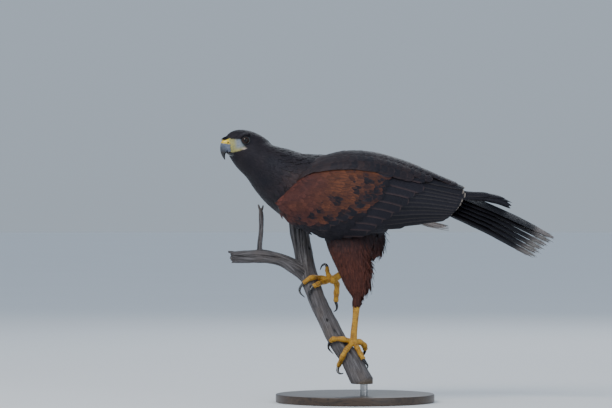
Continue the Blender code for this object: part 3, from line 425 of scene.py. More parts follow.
def points_of(made):
    """A mesh's points in millimetres, and its unit normals."""
    count = len(made.data.vertices)
    points, normals = np.empty(count * 3, np.float32), np.empty(count * 3, np.float32)
    made.data.vertices.foreach_get("co", points)
    made.data.vertices.foreach_get("normal", normals)
    return points.reshape(-1, 3).astype(float) / MM, normals.reshape(-1, 3).astype(float)


def move_points(made, points):
    """Puts a mesh's points at new places in millimetres."""
    made.data.vertices.foreach_set("co", (np.asarray(points) * MM).astype(np.float32).ravel())
    made.data.update()


def mark(made, name, values):
    """Stores one value or vector for each point of the mesh."""
    values = np.asarray(values, np.float32)
    kind, key = {1: ("FLOAT", "value"), 2: ("FLOAT_VECTOR", "vector")}[values.ndim]
    made.data.attributes.new(name, kind, "POINT").data.foreach_set(key, values.ravel())


def rough(points, scale, seed):
    """Smooth random values from -1 to 1: a random number for each corner of a lattice of that scale, and
    between them the eight nearest, blended by S curves."""
    place = np.asarray(points, float) / scale + 4096.0
    cell = np.floor(place).astype(np.int64)
    share = place - cell
    share = share * share * (3 - 2 * share)
    total = np.zeros(len(place))
    for corner in np.ndindex(2, 2, 2):
        key = (cell + corner) @ np.array([73856093, 19349663, 83492791]) + seed * 2654435761
        key = ((key ^ (key >> 13)) * 1274126177) & 0xFFFFFFFF
        key = ((key ^ (key >> 15)) * 2246822519) & 0xFFFFFFFF
        weight = np.prod(np.where(corner, share, 1 - share), axis=1)
        total += weight * ((key >> 8 & 0xFFFF) / 32767.5 - 1)
    return total


def nearest_row(points, rows):
    """For each point, the index of the nearest row of x, y, z."""
    found = np.empty(len(points), int)
    for start in range(0, len(points), 8000):
        part = points[start:start + 8000]
        found[start:start + 8000] = ((part[:, None] - rows[None, :, :3]) ** 2).sum(-1).argmin(1)
    return found


perch_wood, tree, shader = finish("weathered_wood", 0.85)
grain = read(tree, "grain")
across_grain, _, crack_shade_and_knot_tone = node(tree, "ShaderNodeSeparateXYZ", {"Vector": grain}).outputs[:3]
end_grain = read(tree, "end_grain", "Fac")
fibres = noise(tree, stretched(tree, grain, (0.9, 0.045, 0.0)), 1.0, 5.0)
streaks = noise(tree, stretched(tree, grain, (0.28, 0.012, 0.0)), 1.0, 4.0)
stains = noise(tree, spot_of(tree), 38.0, 4.0)
greys = ((0.30, (0.040, 0.035, 0.036)), (0.47, (0.115, 0.105, 0.108)), (0.68, (0.235, 0.222, 0.225)))
wood = ramp(tree, fibres, greys)
wood = blend(tree, ramp(tree, streaks, ((0.35, 0.0), (0.62, 0.75))), wood, (0.060, 0.052, 0.054))
wood = blend(tree, ramp(tree, stains, ((0.50, 0.0), (0.74, 0.5))), wood, (0.130, 0.098, 0.078))
# Painted shade: the grain's third value darkens the cracks to near-black; the same value gives the knots
# their own darker wood.
wood = blend(tree, ramp(tree, crack_shade_and_knot_tone, ((0.1, 0.0), (0.75, 0.95))), wood, (0.008, 0.007, 0.008))
outward = node(tree, "ShaderNodeCombineXYZ", {"X": across_grain}).outputs[0]
year_rings = node(tree, "ShaderNodeTexWave", {"Vector": outward, "Scale": 0.22, "Distortion": 1.5,
                                              "Detail": 3.0})
cut = ramp(tree, year_rings.outputs["Fac"], ((0.2, (0.16, 0.115, 0.075)), (0.8, (0.30, 0.235, 0.165))))
paint(tree, shader, blend(tree, end_grain, wood, cut))
splits = maths(tree, "MULTIPLY", noise(tree, grain, 1.6, 3.0), 0.35)
bump(tree, shader, maths(tree, "ADD", fibres, splits), 0.0006, 0.75)


def make_perch():
    """Melts branch, limb, twig and prongs together, then carves cracks, twist and knots along the grain, and
    paints shade into the cracks.
    """
    forms = [limb_rings(BRANCH_AXIS, 120, 40), limb_rings(LIMB_PATH, 70, 32), limb_rings(TWIG_PATH, 60, 20),
             limb_rings(SPLINTER_PATH, 14, 12)]
    forms += [limb_rings(path, 14, 12) for path in PRONG_PATHS]
    made = melted("perch_wood", forms, perch_wood, WOOD_VOXEL, 3)
    points, normals = points_of(made)
    groups = [evenly(path, steps) for path, steps in ((BRANCH_AXIS, BRANCH_STEPS), (LIMB_PATH, LIMB_STEPS),
                                                      (TWIG_PATH, TWIG_STEPS))]
    found = [nearest_row(points, rows) for rows in groups]
    gaps = np.stack([np.linalg.norm(points - rows[k, :3], axis=1) - rows[k, 3]
                     for rows, k in zip(groups, found)])
    owner = gaps.argmin(0)
    around, along, radius = (np.zeros(len(points)) for _ in range(3))
    for number, (rows, k) in enumerate(zip(groups, found)):
        mine = owner == number
        step = np.linalg.norm(rows[1, :3] - rows[0, :3])
        direction = unit(np.gradient(rows[:, :3], axis=0))
        side = carried(direction, (0, 1, 0))
        up = np.cross(side, direction)
        out = points - rows[k, :3]
        angle = np.arctan2((out * up[k]).sum(1), (out * side[k]).sum(1))
        along[mine] = (GRAIN_STARTS[number] + k * step)[mine]
        around[mine] = (angle + GRAIN_TWIST * k * step)[mine]
        radius[mine] = rows[k, 3][mine]
    flat = np.stack([np.cos(around) * radius, np.sin(around) * radius, along * 0.055], axis=1)
    ridged = 1 - np.abs(rough(flat, 3.4, 3)) * 4.2
    fine = 1 - np.abs(rough(flat * (1, 1, 1.5), 1.8, 5)) * 5.0
    patchy = np.clip(rough(np.stack([flat[:, 0], flat[:, 1], along * 0.22], 1), 16.0, 8) * 1.6 + 0.55, 0, 1)
    crack = np.clip(ridged, 0, 1) * patchy + 0.45 * np.clip(fine, 0, 1) * (1 - patchy * 0.5)
    knot = np.zeros(len(points))
    for spot, degrees, size in KNOTS:
        turn = np.angle(np.exp(1j * (around - math.radians(degrees))))
        apart = np.hypot(turn * radius * 1.3, (along - spot) * 0.8) / size
        apart = np.where(owner == 0, apart, 9.0)
        knot = np.maximum(knot, np.exp(-(apart / 0.75) ** 2) * 2.6)
        knot -= 0.9 * np.exp(-((apart - 1.7) / 0.6) ** 2)
    flat_end = (owner == 0) & ((found[0] == BRANCH_STEPS - 1) | (found[0] == 0))
    broken = (owner == 1) & (found[1] == LIMB_STEPS - 1)
    swell = 0.9 * rough(points, 22.0, 1) + 0.35 * rough(points, 7.0, 2)
    depth = np.where(owner == 2, 0.45, 1.0) * (0.95 * crack + knot * 0.8)
    move = np.where(flat_end, 0, np.where(owner == 2, TWIG_ROUGHNESS, 1.0) * swell - depth)
    points = points + normals * move[:, None]
    fray = rough(points * (0.12, 1, 1), 2.6, 11) * 3.4 + rough(points * (0.1, 1, 1), 1.2, 12) * 1.6
    points[:, 0] += np.where(broken, fray - 0.5, 0)
    at_foot = flat_end & (points[:, 2] < 60)
    points[:, 2] = np.where(at_foot, BRANCH_FOOT, np.maximum(points[:, 2], BRANCH_FOOT))
    move_points(made, points)
    out = np.where(flat_end, np.linalg.norm(points - groups[0][found[0], :3], axis=1), around * radius)
    # dark holds painted shade in the cracks, the knots' own darker wood and a slightly darker broken end.
    dark = np.clip(crack * 0.85 + np.maximum(knot, 0) * 0.5 + np.where(broken, 0.12, 0), 0, 1)
    mark(made, "grain", np.stack([out, along, np.where(flat_end, 0, dark)], axis=1))
    mark(made, "end_grain", flat_end.astype(float))
    return place_piece(made, "dead_wood", "perch_branch", "perch_limb", "perch_twig")


make_perch()


# The skin: the body under the feathers, one closed form from the bill's root to the tail's. It is dark where
# feathers cover it and bare, waxy and yellow to blue-grey between the bill and the eye.

SPINE = (  # x, z, half height, half width
    (-172, 373, 22, 19),
    (-156, 361, 29, 26),
    (-138, 348, 33, 30),
    (-118, 333.5, 42, 37),
    (-91, 316.5, 50, 46),
    (-58, 305, 57, 54),
    (-18, 298, 61, 56),
    (30, 295, 51, 50),
    (70, 295, 35, 37),
    (100, 291, 23, 25),
    (118, 288, 15, 17),
)
HEAD_PLACE = np.array([-160.6, 0.0, 376.0])
HEAD_TURN = math.radians(28)
HEAD_NOD = math.radians(8)
HEAD_ROWS = (  # forward, up, half width, half height
    (-40, -21, 14, 16),
    (-33, -16.5, 20, 19),
    (-22, -10.5, 24, 21.5),
    (-9, -5, 24.3, 22.5),
    (5, -1.2, 22, 22.2),
    (16, -0.3, 17.2, 20.6),
    (23, 0.4, 12.0, 17.0),
    (27, 1.6, 8.4, 13.2),
    (31, 4.2, 5.6, 9.2),
    (34, 6.0, 3.4, 5.6),
)
LEFT_THIGH = (  # x, y, z, half length, half width
    (-8, -24, 262, 46, 14),
    (-7, -27, 240, 41, 17),
    (-7.5, -31, 215, 31.5, 20),
    (-0.5, -32, 189, 26.5, 17),
    (2.8, -31, 166, 19.0, 13),
    (2.8, -30, 152, 9.6, 8.5),
    (1.6, -29.5, 141, 6.4, 6.2),
)
RIGHT_THIGH = (
    (6, 22, 262, 38, 13),
    (12, 26, 246, 34, 16),
    (19, 30, 231, 27, 17),
    (23, 32, 217, 19, 14),
    (21, 33, 208, 10, 10),
    (14, 32.5, 203, 6, 7),
)
BODY_COAT = 3.2
HEAD_COAT = 1.6
THIGH_COAT = 3.4
SKIN_VOXEL = 2.3
EYE_PLACE = (6.0, 16.6, 4.0)
EYE_RADIUS = 6.3
GAZE_FORWARD = 0.42
SOCKET_REACH = 9.0
BROW_PLACE = (9.5, 17.0, 10.6)
BROW_SIZE = (13.0, 3.5, 2.7)

level = np.array([-math.cos(HEAD_TURN), -math.sin(HEAD_TURN), 0.0])
lift = np.array([0.0, 0.0, 1.0])
FORWARD = level * math.cos(HEAD_NOD) - lift * math.sin(HEAD_NOD)
UP = level * math.sin(HEAD_NOD) + lift * math.cos(HEAD_NOD)
LEFT = np.cross(UP, FORWARD)


def in_head(forward, left, up):
    """Points of the head's own frame, in the hawk's frame."""
    forward, left, up = (np.asarray(v, float)[..., None] for v in (forward, left, up))
    return HEAD_PLACE + FORWARD * forward + LEFT * left + UP * up


def head_frame(points):
    """How far forward, left and up of the head's middle each point lies."""
    out = points - HEAD_PLACE
    return out @ FORWARD, out @ LEFT, out @ UP


def eye_of(side):
    """An eye's centre and line of sight; side is 1 on the left and -1 on the right."""
    place = in_head(EYE_PLACE[0], side * EYE_PLACE[1], EYE_PLACE[2])
    return place, unit(LEFT * side + FORWARD * GAZE_FORWARD)


def spine_rows(count):
    """Centres, axes and half sizes of rings square to the spine's curve."""
    rows = through(SPINE, count)
    centre = np.stack([rows[:, 0], np.zeros(count), rows[:, 1]], axis=1)
    along = unit(np.gradient(centre, axis=0))
    across = np.tile([0.0, 1.0, 0.0], (count, 1))
    return centre, along, across, np.cross(along, across), rows[:, 3], rows[:, 2]


def head_rings(rows, count, sides, inset=0.0):
    """Upright elliptic rings along the head's forward axis, inset all round."""
    rows = through(rows, count)
    across, upward = np.tile(LEFT, (count, 1)), np.tile(UP, (count, 1))
    middles = in_head(rows[:, 0], 0, rows[:, 1])
    return rings(middles, across, upward, rows[:, 2] - inset, rows[:, 3] - inset, sides)


def thigh_rings(rows, count, sides, inset):
    """Level elliptic rings, long fore and aft."""
    rows = through(rows, count)
    across, upward = np.tile([1.0, 0, 0], (count, 1)), np.tile([0, 1.0, 0], (count, 1))
    return rings(rows[:, :3], across, upward, np.maximum(rows[:, 3] - inset, 3.4),
                 np.maximum(rows[:, 4] - inset, 3.4), sides)


def ball_rings(place, radii, axes, count=12, sides=20):
    """Rings of an ellipsoid with its own three axes; the first is its pole."""
    polar = np.linspace(0.02, np.pi - 0.02, count)
    centre = np.asarray(place) + np.cos(polar)[:, None] * radii[0] * axes[0]
    around = np.tile(axes[1], (count, 1)), np.tile(axes[2], (count, 1))
    return rings(centre, *around, np.sin(polar) * radii[1], np.sin(polar) * radii[2], sides)


def brow_rings(side):
    """The bony ridge over the eye, running forward and down to the bill."""
    run = unit(FORWARD - LEFT * side * 0.42 - UP * 0.22)
    rise = unit(UP - run * (UP @ run))
    place = in_head(BROW_PLACE[0], side * BROW_PLACE[1], BROW_PLACE[2])
    return ball_rings(place, BROW_SIZE, (run, np.cross(run, rise), rise))


def bare_share(forward, up):
    """How bare the face is: 1 between the bill's root and the eye down to the mouth's corner, 0 elsewhere."""
    rear = forward - (7.6 + (up + 9.0) * 0.36)
    top = 6.4 + (forward - 13.0) * 0.17 - up
    low = up + 8.6 + (forward - 9.0) * 0.19
    inside = np.minimum(np.minimum(rear, top), low)
    return np.clip(inside / 1.6 + 0.5, 0, 1)


skin_finish, tree, shader = finish("bare_and_feathered_skin", 0.55, Subsurface_Weight=0.08)
shader.inputs["Subsurface Radius"].default_value = (0.004, 0.002, 0.001)
face_spot = read(tree, "face")
forward_share, up_share, bare = node(tree, "ShaderNodeSeparateXYZ", {"Vector": face_spot}).outputs[:3]
bluish = ramp(tree, forward_share, ((0.34, 1.0), (0.50, 0.0)))
waxy = blend(tree, bluish, (0.27, 0.30, 0.34), (0.13, 0.16, 0.17))
waxy = blend(tree, ramp(tree, forward_share, ((0.68, 0.0), (0.84, 1.0))), waxy, (0.40, 0.37, 0.13))
waxy = blend(tree, ramp(tree, up_share, ((0.26, 1.0), (0.52, 0.0))), waxy, (0.42, 0.37, 0.12))
pink = maths(tree, "MULTIPLY", ramp(tree, forward_share, ((0.36, 1.0), (0.52, 0.0))),
             ramp(tree, up_share, ((0.33, 1.0), (0.45, 0.0))))
waxy = blend(tree, pink, waxy, (0.56, 0.44, 0.38))
mottle = noise(tree, spot_of(tree), 420.0, 4.0)
waxy = blend(tree, ramp(tree, mottle, ((0.35, 0.45), (0.6, 0.0))), waxy, (0.13, 0.13, 0.12))
paint(tree, shader, blend(tree, bare, (0.005, 0.004, 0.005), waxy))
pores = node(tree, "ShaderNodeTexVoronoi", {"Vector": spot_of(tree), "Scale": 1100.0})
bump(tree, shader, pores.outputs["Distance"], 0.0004, 0.5)


def make_skin():
    """Melts body, head, brows and thighs together, sinks a socket round each eye and marks the bare face."""
    centre, along, across, upward, wide, high = spine_rows(60)
    forms = [rings(centre, across, upward, wide - BODY_COAT, high - BODY_COAT, 48),
             head_rings(HEAD_ROWS, 30, 40, HEAD_COAT),
             thigh_rings(LEFT_THIGH, 26, 28, THIGH_COAT), thigh_rings(RIGHT_THIGH, 18, 28, THIGH_COAT)]
    forms += [brow_rings(side) for side in (1, -1)]
    made = melted("skin", forms, skin_finish, SKIN_VOXEL, 5)
    points, _ = points_of(made)
    for side in (1, -1):
        place, gaze = eye_of(side)
        out = points - place
        depth = out @ gaze
        apart = np.linalg.norm(out - depth[:, None] * gaze, axis=1)
        floor_depth = np.where(apart < SOCKET_REACH, 1.2 + 1.3 * np.maximum(apart - 5.3, 0), 99.0)
        sink = np.where(depth > -4, np.maximum(depth - floor_depth, 0), 0)
        points -= sink[:, None] * gaze
    move_points(made, points)
    forward, left, up = head_frame(points)
    bare = bare_share(forward, up) * (forward > -2) * (np.abs(left) > 3)
    mark(made, "face", np.stack([(forward - 2) / 24, (up + 14) / 20, bare], axis=1))
    return place_piece(made, "dark_plumage", "head", "neck", "torso", "thigh_left", "thigh_right")


skin = make_skin()


# The eyes: dark brown, glossy balls with a black pupil, each set in its socket and framed by two thin lids
# that leave an almond of it bare.

LID_RADIUS = 6.8
OPEN_LONG = math.radians(53)
OPEN_TALL = math.radians(44)

eye_finish, tree, shader = finish("eye", 0.04, Specular_IOR_Level=0.28)
polar = read(tree, "polar", "Fac")
rays = noise(tree, stretched(tree, read(tree, "turn"), (1.0, 1.0, 0.15)), 9.0, 4.0)
iris = ramp(tree, rays, ((0.3, (0.011, 0.004, 0.003)), (0.7, (0.040, 0.012, 0.006))))
iris = blend(tree, ramp(tree, polar, ((0.56, 0.0), (0.68, 1.0))), iris, (0.006, 0.003, 0.003))
iris = blend(tree, ramp(tree, polar, ((0.30, 1.0), (0.335, 0.0))), iris, (0.002, 0.002, 0.002))
paint(tree, shader, iris)

lid_finish, tree, shader = finish("lid_skin", 0.5)
rim = read(tree, "rim", "Fac")
lid_tints = ((0.0, (0.009, 0.010, 0.012)), (0.4, (0.030, 0.034, 0.036)), (1.0, (0.20, 0.20, 0.17)))
paint(tree, shader, ramp(tree, rim, lid_tints))
bump(tree, shader, noise(tree, spot_of(tree), 1500.0, 2.0), 0.0003, 0.5)


def make_eye(side, name):
    """A ball with a bulging front, and lids as a thin shell round it that starts at the almond's edge."""
    place, gaze = eye_of(side)
    first = unit(np.cross(gaze, UP))
    second = np.cross(first, gaze)
    polar = np.linspace(0.02, np.pi - 0.02, 40)
    turn = np.linspace(0, 2 * np.pi, 56, endpoint=False)
    radius = EYE_RADIUS + 0.35 * np.exp(-(polar / 0.55) ** 2)
    spread = first * np.cos(turn)[:, None] + second * np.sin(turn)[:, None]
    ahead, out = radius * np.cos(polar), radius * np.sin(polar)
    ball = place + ahead[:, None, None] * gaze + out[:, None, None] * spread
    made = shape(f"eyeball_{name}", ball, tube_faces(40, 56), eye_finish)
    mark(made, "polar", np.repeat(polar / (np.pi / 2), 56))
    mark(made, "turn", np.tile(np.stack([np.cos(turn), np.sin(turn), turn * 0], 1), (40, 1)))
    place_piece(made, "eye_gloss", f"eye_{name}")

    long_way = unit(first + second * 0.10)
    tall_way = np.cross(long_way, gaze)
    tall = 1 / np.sqrt((np.cos(turn) / OPEN_LONG) ** 2 + (np.sin(turn) / OPEN_TALL) ** 2)
    spread = long_way * np.cos(turn)[:, None] + tall_way * np.sin(turn)[:, None]
    shares = np.array([0, 0.0, 0.04, 0.11, 0.24, 0.44, 0.7, 1.0, 1.0, 0.5])
    radii = np.array([6.42, 6.65, 6.85, 6.92, 6.8, 6.9, 6.85, 6.7, 6.0, 6.1])
    angle = tall[None] + (math.radians(94) - tall[None]) * shares[:, None]
    shell = place + (radii[:, None] * np.cos(angle))[..., None] * gaze
    shell = shell + (radii[:, None] * np.sin(angle))[..., None] * spread
    index = np.arange(shell.shape[0] * 56).reshape(-1, 56)
    after = np.roll(index, -1, axis=0)
    faces = np.stack([index, np.roll(index, -1, 1), np.roll(after, -1, 1), after], axis=-1).reshape(-1, 4)
    lids = shape(f"lids_{name}", shell, faces, lid_finish)
    rearward = np.clip(-(spread @ FORWARD) - 0.35 * (spread @ UP), 0, 1)[None]
    pale = np.exp(-((shares[:, None] - 0.07) / 0.09) ** 2) * (0.08 + 0.7 * rearward ** 2)
    pale = pale + 0.25 * np.clip(-(spread @ UP) - 0.25, 0, 1)[None] * (shares[:, None] > 0.1)
    mark(lids, "rim", pale.ravel())
    place_piece(lids, "dark_plumage")


make_eye(1, "left")
make_eye(-1, "right")


# The bill: a waxy yellow cere at its root, a hooked blue-grey upper half that turns black at the tip, and a
# shorter lower half that closes behind the hook.

BILL_PATH = (  # forward, up, half height, half width, degrees that the ring is tipped down
    (20.0, 0.3, 12.4, 9.6, 0),
    (25.0, 0.2, 11.8, 8.8, 4),
    (29.2, -0.4, 10.6, 7.5, 12),
    (32.8, -2.8, 8.2, 5.8, 30),
    (35.2, -7.0, 5.3, 4.1, 55),
    (36.0, -11.7, 3.3, 2.6, 80),
    (35.6, -16.3, 1.7, 1.5, 96),
    (34.6, -20.2, 0.5, 0.5, 104),
)
HORN_EDGE = 27.0
JAW_ROWS = (  # forward, up, half width, half height
    (14, -14.6, 7.8, 4.4),
    (20, -14.2, 6.8, 4.2),
    (25, -12.8, 5.2, 3.2),
    (28.5, -11.4, 3.6, 2.1),
    (30.8, -10.4, 1.2, 0.9),
)
NOSTRIL_PLACE = (29.3, 3.6)

cere_finish, tree, shader = finish("waxy_cere", 0.33, Subsurface_Weight=0.15, Coat_Weight=0.2)
shader.inputs["Subsurface Radius"].default_value = (0.003, 0.0015, 0.0005)
patches = noise(tree, spot_of(tree), 260.0, 3.0)
cere = ramp(tree, patches, ((0.3, (0.72, 0.44, 0.012)), (0.7, (0.86, 0.60, 0.030))))
cere = blend(tree, read(tree, "rear", "Fac"), cere, (0.36, 0.32, 0.10))
# The nostril's opening is painted near-black: painted shade inside the pit.
paint(tree, shader, blend(tree, read(tree, "nostril_pit_and_shade", "Fac"), cere, (0.020, 0.008, 0.004)))
bump(tree, shader, noise(tree, spot_of(tree), 1300.0, 3.0), 0.0003, 0.4)

horn_finish, tree, shader = finish("blue_grey_horn", 0.26, Coat_Weight=0.3, Coat_Roughness=0.15)
tip_share = read(tree, "tip", "Fac")
layers = noise(tree, stretched(tree, spot_of(tree), (160.0, 160.0, 900.0)), 1.0, 3.0)
horn = ramp(tree, layers, ((0.3, (0.085, 0.105, 0.150)), (0.7, (0.17, 0.195, 0.25))))
horn = blend(tree, ramp(tree, tip_share, ((0.30, 0.0), (0.62, 1.0))), horn, (0.008, 0.008, 0.010))
paint(tree, shader, horn)
bump(tree, shader, layers, 0.0002, 0.35)


def smooth_step(low, high, value):
    """0 below low, 1 above high and an S curve between."""
    share = np.clip((value - low) / (high - low), 0, 1)
    return share * share * (3 - 2 * share)


def mouth_up(forward):
    """Height of the line where the two halves of the bill meet."""
    return np.interp(forward, (7, 14, 20, 26, 30.8), (-12.0, -11.4, -10.4, -10.2, -11.0))


def bill_surface(first, last, count, sides, raise_cere, raise_horn):
    """Rings of the upper half that turn from facing forward to facing down, cut off flat along the mouth. The
    cere lies above a line that climbs forward from the horn's rear edge, and each is raised apart."""
    rows = through(BILL_PATH, 601)[np.linspace(first * 600, last * 600, count).astype(int)]
    tip = np.radians(rows[:, 4])
    upward = np.cos(tip)[:, None] * UP + np.sin(tip)[:, None] * FORWARD
    centre = in_head(rows[:, 0], 0, rows[:, 1])
    made = rings(centre, np.tile(LEFT, (count, 1)), upward, rows[:, 3], rows[:, 2], sides, 0.88)
    forward, left, up = head_frame(made.reshape(-1, 3))
    above = np.maximum(up - 1.6 - (forward - 28.4) * 0.33, HORN_EDGE - forward - 0.2 * np.abs(up + 3))
    share = smooth_step(-0.5, 0.5, above)
    out = unit(made - centre[:, None]).reshape(-1, 3)
    moved = made.reshape(-1, 3) + out * (raise_horn + (raise_cere - raise_horn) * share)[:, None]
    forward, left, up = head_frame(moved)
    least = mouth_up(forward) + 0.15 + 0.4 * np.sin((forward - 26) * 0.9) * (forward > 26)
    up = np.where(forward < 32.6, np.maximum(up, least), up)
    return in_head(forward, left, up).reshape(made.shape)


CERE_GRID, HORN_GRID, JAW_GRID = (60, 72), (130, 112), (26, 32)  # rings along, points round each

cere_points = bill_surface(0.0, 0.46, *CERE_GRID, 0.35, -0.9)
forward, left, up = head_frame(cere_points.reshape(-1, 3))
apart = np.hypot((forward - NOSTRIL_PLACE[0]) / 1.35, (up - NOSTRIL_PLACE[1]) / 1.0)
nostril_pit_and_shade = np.exp(-apart ** 2.6)
raised = 0.25 * np.exp(-((apart - 1.7) / 0.5) ** 2)
out = np.where(np.abs(left) > 2, np.sign(left), 0) * (raised - 1.3 * nostril_pit_and_shade)
cere_points = in_head(forward, left + out, up)
cere = shape("cere_waxy", cere_points, tube_faces(*CERE_GRID), cere_finish)
# Where the nostril's painted shade lies, darkest in the pit.
mark(cere, "nostril_pit_and_shade", np.clip(nostril_pit_and_shade * 1.9 - 0.3, 0, 1))
mark(cere, "rear", smooth_step(28.6, 26.4, forward))
place_piece(cere, "cere_skin", "cere")

upper_points = bill_surface(0.13, 1.0, *HORN_GRID, -1.7, 0.0)
upper = shape("bill_hook", upper_points, tube_faces(*HORN_GRID), horn_finish)
mark(upper, "tip", np.repeat(np.linspace(0, 1, HORN_GRID[0]), HORN_GRID[1]))
place_piece(upper, "bill_horn", "bill_upper")

jaw_points = head_rings(JAW_ROWS, *JAW_GRID)
forward, left, up = head_frame(jaw_points.reshape(-1, 3))
highest = mouth_up(forward) + 0.1 + 0.9 * smooth_step(25, 28, forward)
jaw_points = in_head(forward, left, np.minimum(up, highest))
jaw = shape("bill_jaw", jaw_points, tube_faces(*JAW_GRID), horn_finish)
mark(jaw, "tip", np.repeat(np.linspace(0.66, 0.95, JAW_GRID[0]), JAW_GRID[1]))
place_piece(jaw, "bill_horn", "bill_lower")


# The legs: bare tarsi and toes in yellow skin. Broad overlapping scutes run down the front of each tarsus and
# the top of each toe, small round scales cover the rest, and pads swell under the joints.

TOE_THICK = 3.9
HALLUX_THICK = 4.3
TALON_THICK = 2.9
TALON_POINT = 0.3
TALON_ROOT = 1.6
PALM_RADIUS = 6.6
LEFT_PALM = (-2.5, -29.0, 88.0)
RIGHT_PALM = (-31.5, 20.0, 177.0)
LEFT_LEG = ((1.6, -29.5, 140.7, 5.2), (0.2, -29.4, 122, 4.4), (-2.0, -29.4, 101, 4.8), (*LEFT_PALM, 5.4))
RIGHT_LEG = ((19, 32, 210, 5.6), (0, 28.5, 197, 4.6), (-20, 23.5, 184.5, 4.9), (*RIGHT_PALM, 5.4))
LEG_VOXEL = 0.62
SCUTE_STEP = 2.7
SCUTE_RISE = 0.42
branch_rows = through(BRANCH_AXIS, 400)


def near_side(x, z, stand_off):
    """The point seen from -Y at x and z that lies stand_off outside the branch, or beside it if it misses."""
    depth = np.linspace(-110, 110, 1101)
    spots = np.stack([np.full_like(depth, x), depth, np.full_like(depth, z)], axis=1)
    apart = np.linalg.norm(spots[:, None] - branch_rows[None, :, :3], axis=2) - branch_rows[None, :, 3]
    apart = apart.min(axis=1)
    inside = np.nonzero(apart <= stand_off)[0]
    return spots[inside[0] if len(inside) else int(np.argmin(apart))]


def grip(places, stand_offs):
    """Points over the branch's near side, from x, z places."""
    return [near_side(x, z, off) for (x, z), off in zip(places, stand_offs)]


TOE_OFF = (TOE_THICK + 0.3,) * 3
CLAW_OFF = (TALON_THICK + 1.3, TALON_THICK + 0.3, 1.2)
LEFT_TOES = (
    (grip(((-18, 92.3), (-31.3, 92.5), (-36, 89.0)), TOE_OFF),
     grip(((-38.5, 83.5), (-38, 77.5), (-31.5, 70.5)), CLAW_OFF), TOE_THICK),
    (grip(((-12.5, 78.5), (-18, 68.5), (-24.5, 53.0)), TOE_OFF),
     grip(((-25.5, 46.5), (-22, 43.0), (-17, 43.5)), CLAW_OFF), TOE_THICK),
    (grip(((3.0, 79), (7.2, 71.5), (11.5, 63.5)), TOE_OFF),
     grip(((15.0, 58.6), (17.5, 54.8), (17.2, 51.0)), CLAW_OFF), TOE_THICK),
    ([(6, -25, 88), (13, -17, 82.5), (14.5, -10, 76.5)],
     [(12.8, -4.5, 70.5), (8.5, -0.8, 66), (3.5, -0.5, 63.5)], HALLUX_THICK),
)
RIGHT_TOES = (
    (grip(((-48.7, 179), (-63.0, 179.8), (-75.0, 171.5)), TOE_OFF),
     grip(((-80, 164), (-79.5, 157.5), (-72.8, 151.0)), CLAW_OFF), TOE_THICK),
    (grip(((-43, 174), (-54, 170.5), (-61.0, 167.0)), TOE_OFF),
     grip(((-66, 160), (-67.0, 152.5), (-63.5, 144.0)), CLAW_OFF), TOE_THICK),
    ([(-38.5, 26, 184), (-40.2, 31, 190), (-40.3, 34, 195)],
     [(-42.8, 35.5, 199.0), (-47.6, 36.4, 197.0), (-50.5, 36.6, 190.5)], 3.3),
    ([(-26.5, 24, 170), (-26.8, 26, 158), (-27.6, 26.5, 144)],
     [(-26.0, 26.3, 138), (-26.8, 25.2, 133.0), (-31.0, 23.6, 129.6)], HALLUX_THICK),
)

leg_finish, tree, shader = finish("scaled_yellow_skin", 0.5, Subsurface_Weight=0.06)
shader.inputs["Subsurface Radius"].default_value = (0.003, 0.0012, 0.0004)
worn = noise(tree, spot_of(tree), 150.0, 4.0)
yellows = ((0.3, (0.33, 0.150, 0.016)), (0.5, (0.58, 0.290, 0.018)), (0.75, (0.66, 0.375, 0.040)))
leg_colour = ramp(tree, worn, yellows)
seam = read(tree, "seam", "Fac")
leg_colour = blend(tree, ramp(tree, seam, ((0.05, 0.0), (1.0, 0.85))), leg_colour, (0.13, 0.070, 0.028))
cells = node(tree, "ShaderNodeTexVoronoi", {"Vector": spot_of(tree), "Scale": 820.0},
             feature="DISTANCE_TO_EDGE")
edges = ramp(tree, cells.outputs["Distance"], ((0.0, 0.0), (0.16, 1.0)))
leg_colour = blend(tree, edges, blend(tree, 0.3, leg_colour, (0.16, 0.08, 0.025)), leg_colour)
paint(tree, shader, leg_colour)
bump(tree, shader, edges, 0.0004, 0.6)

talon_finish, tree, shader = finish("black_horn", 0.2, Coat_Weight=0.4, Coat_Roughness=0.12)
layers = noise(tree, spot_of(tree), 500.0, 3.0)
paint(tree, shader, ramp(tree, layers, ((0.3, (0.006, 0.006, 0.007)), (0.7, (0.022, 0.021, 0.023)))))
bump(tree, shader, layers, 0.00015, 0.4)


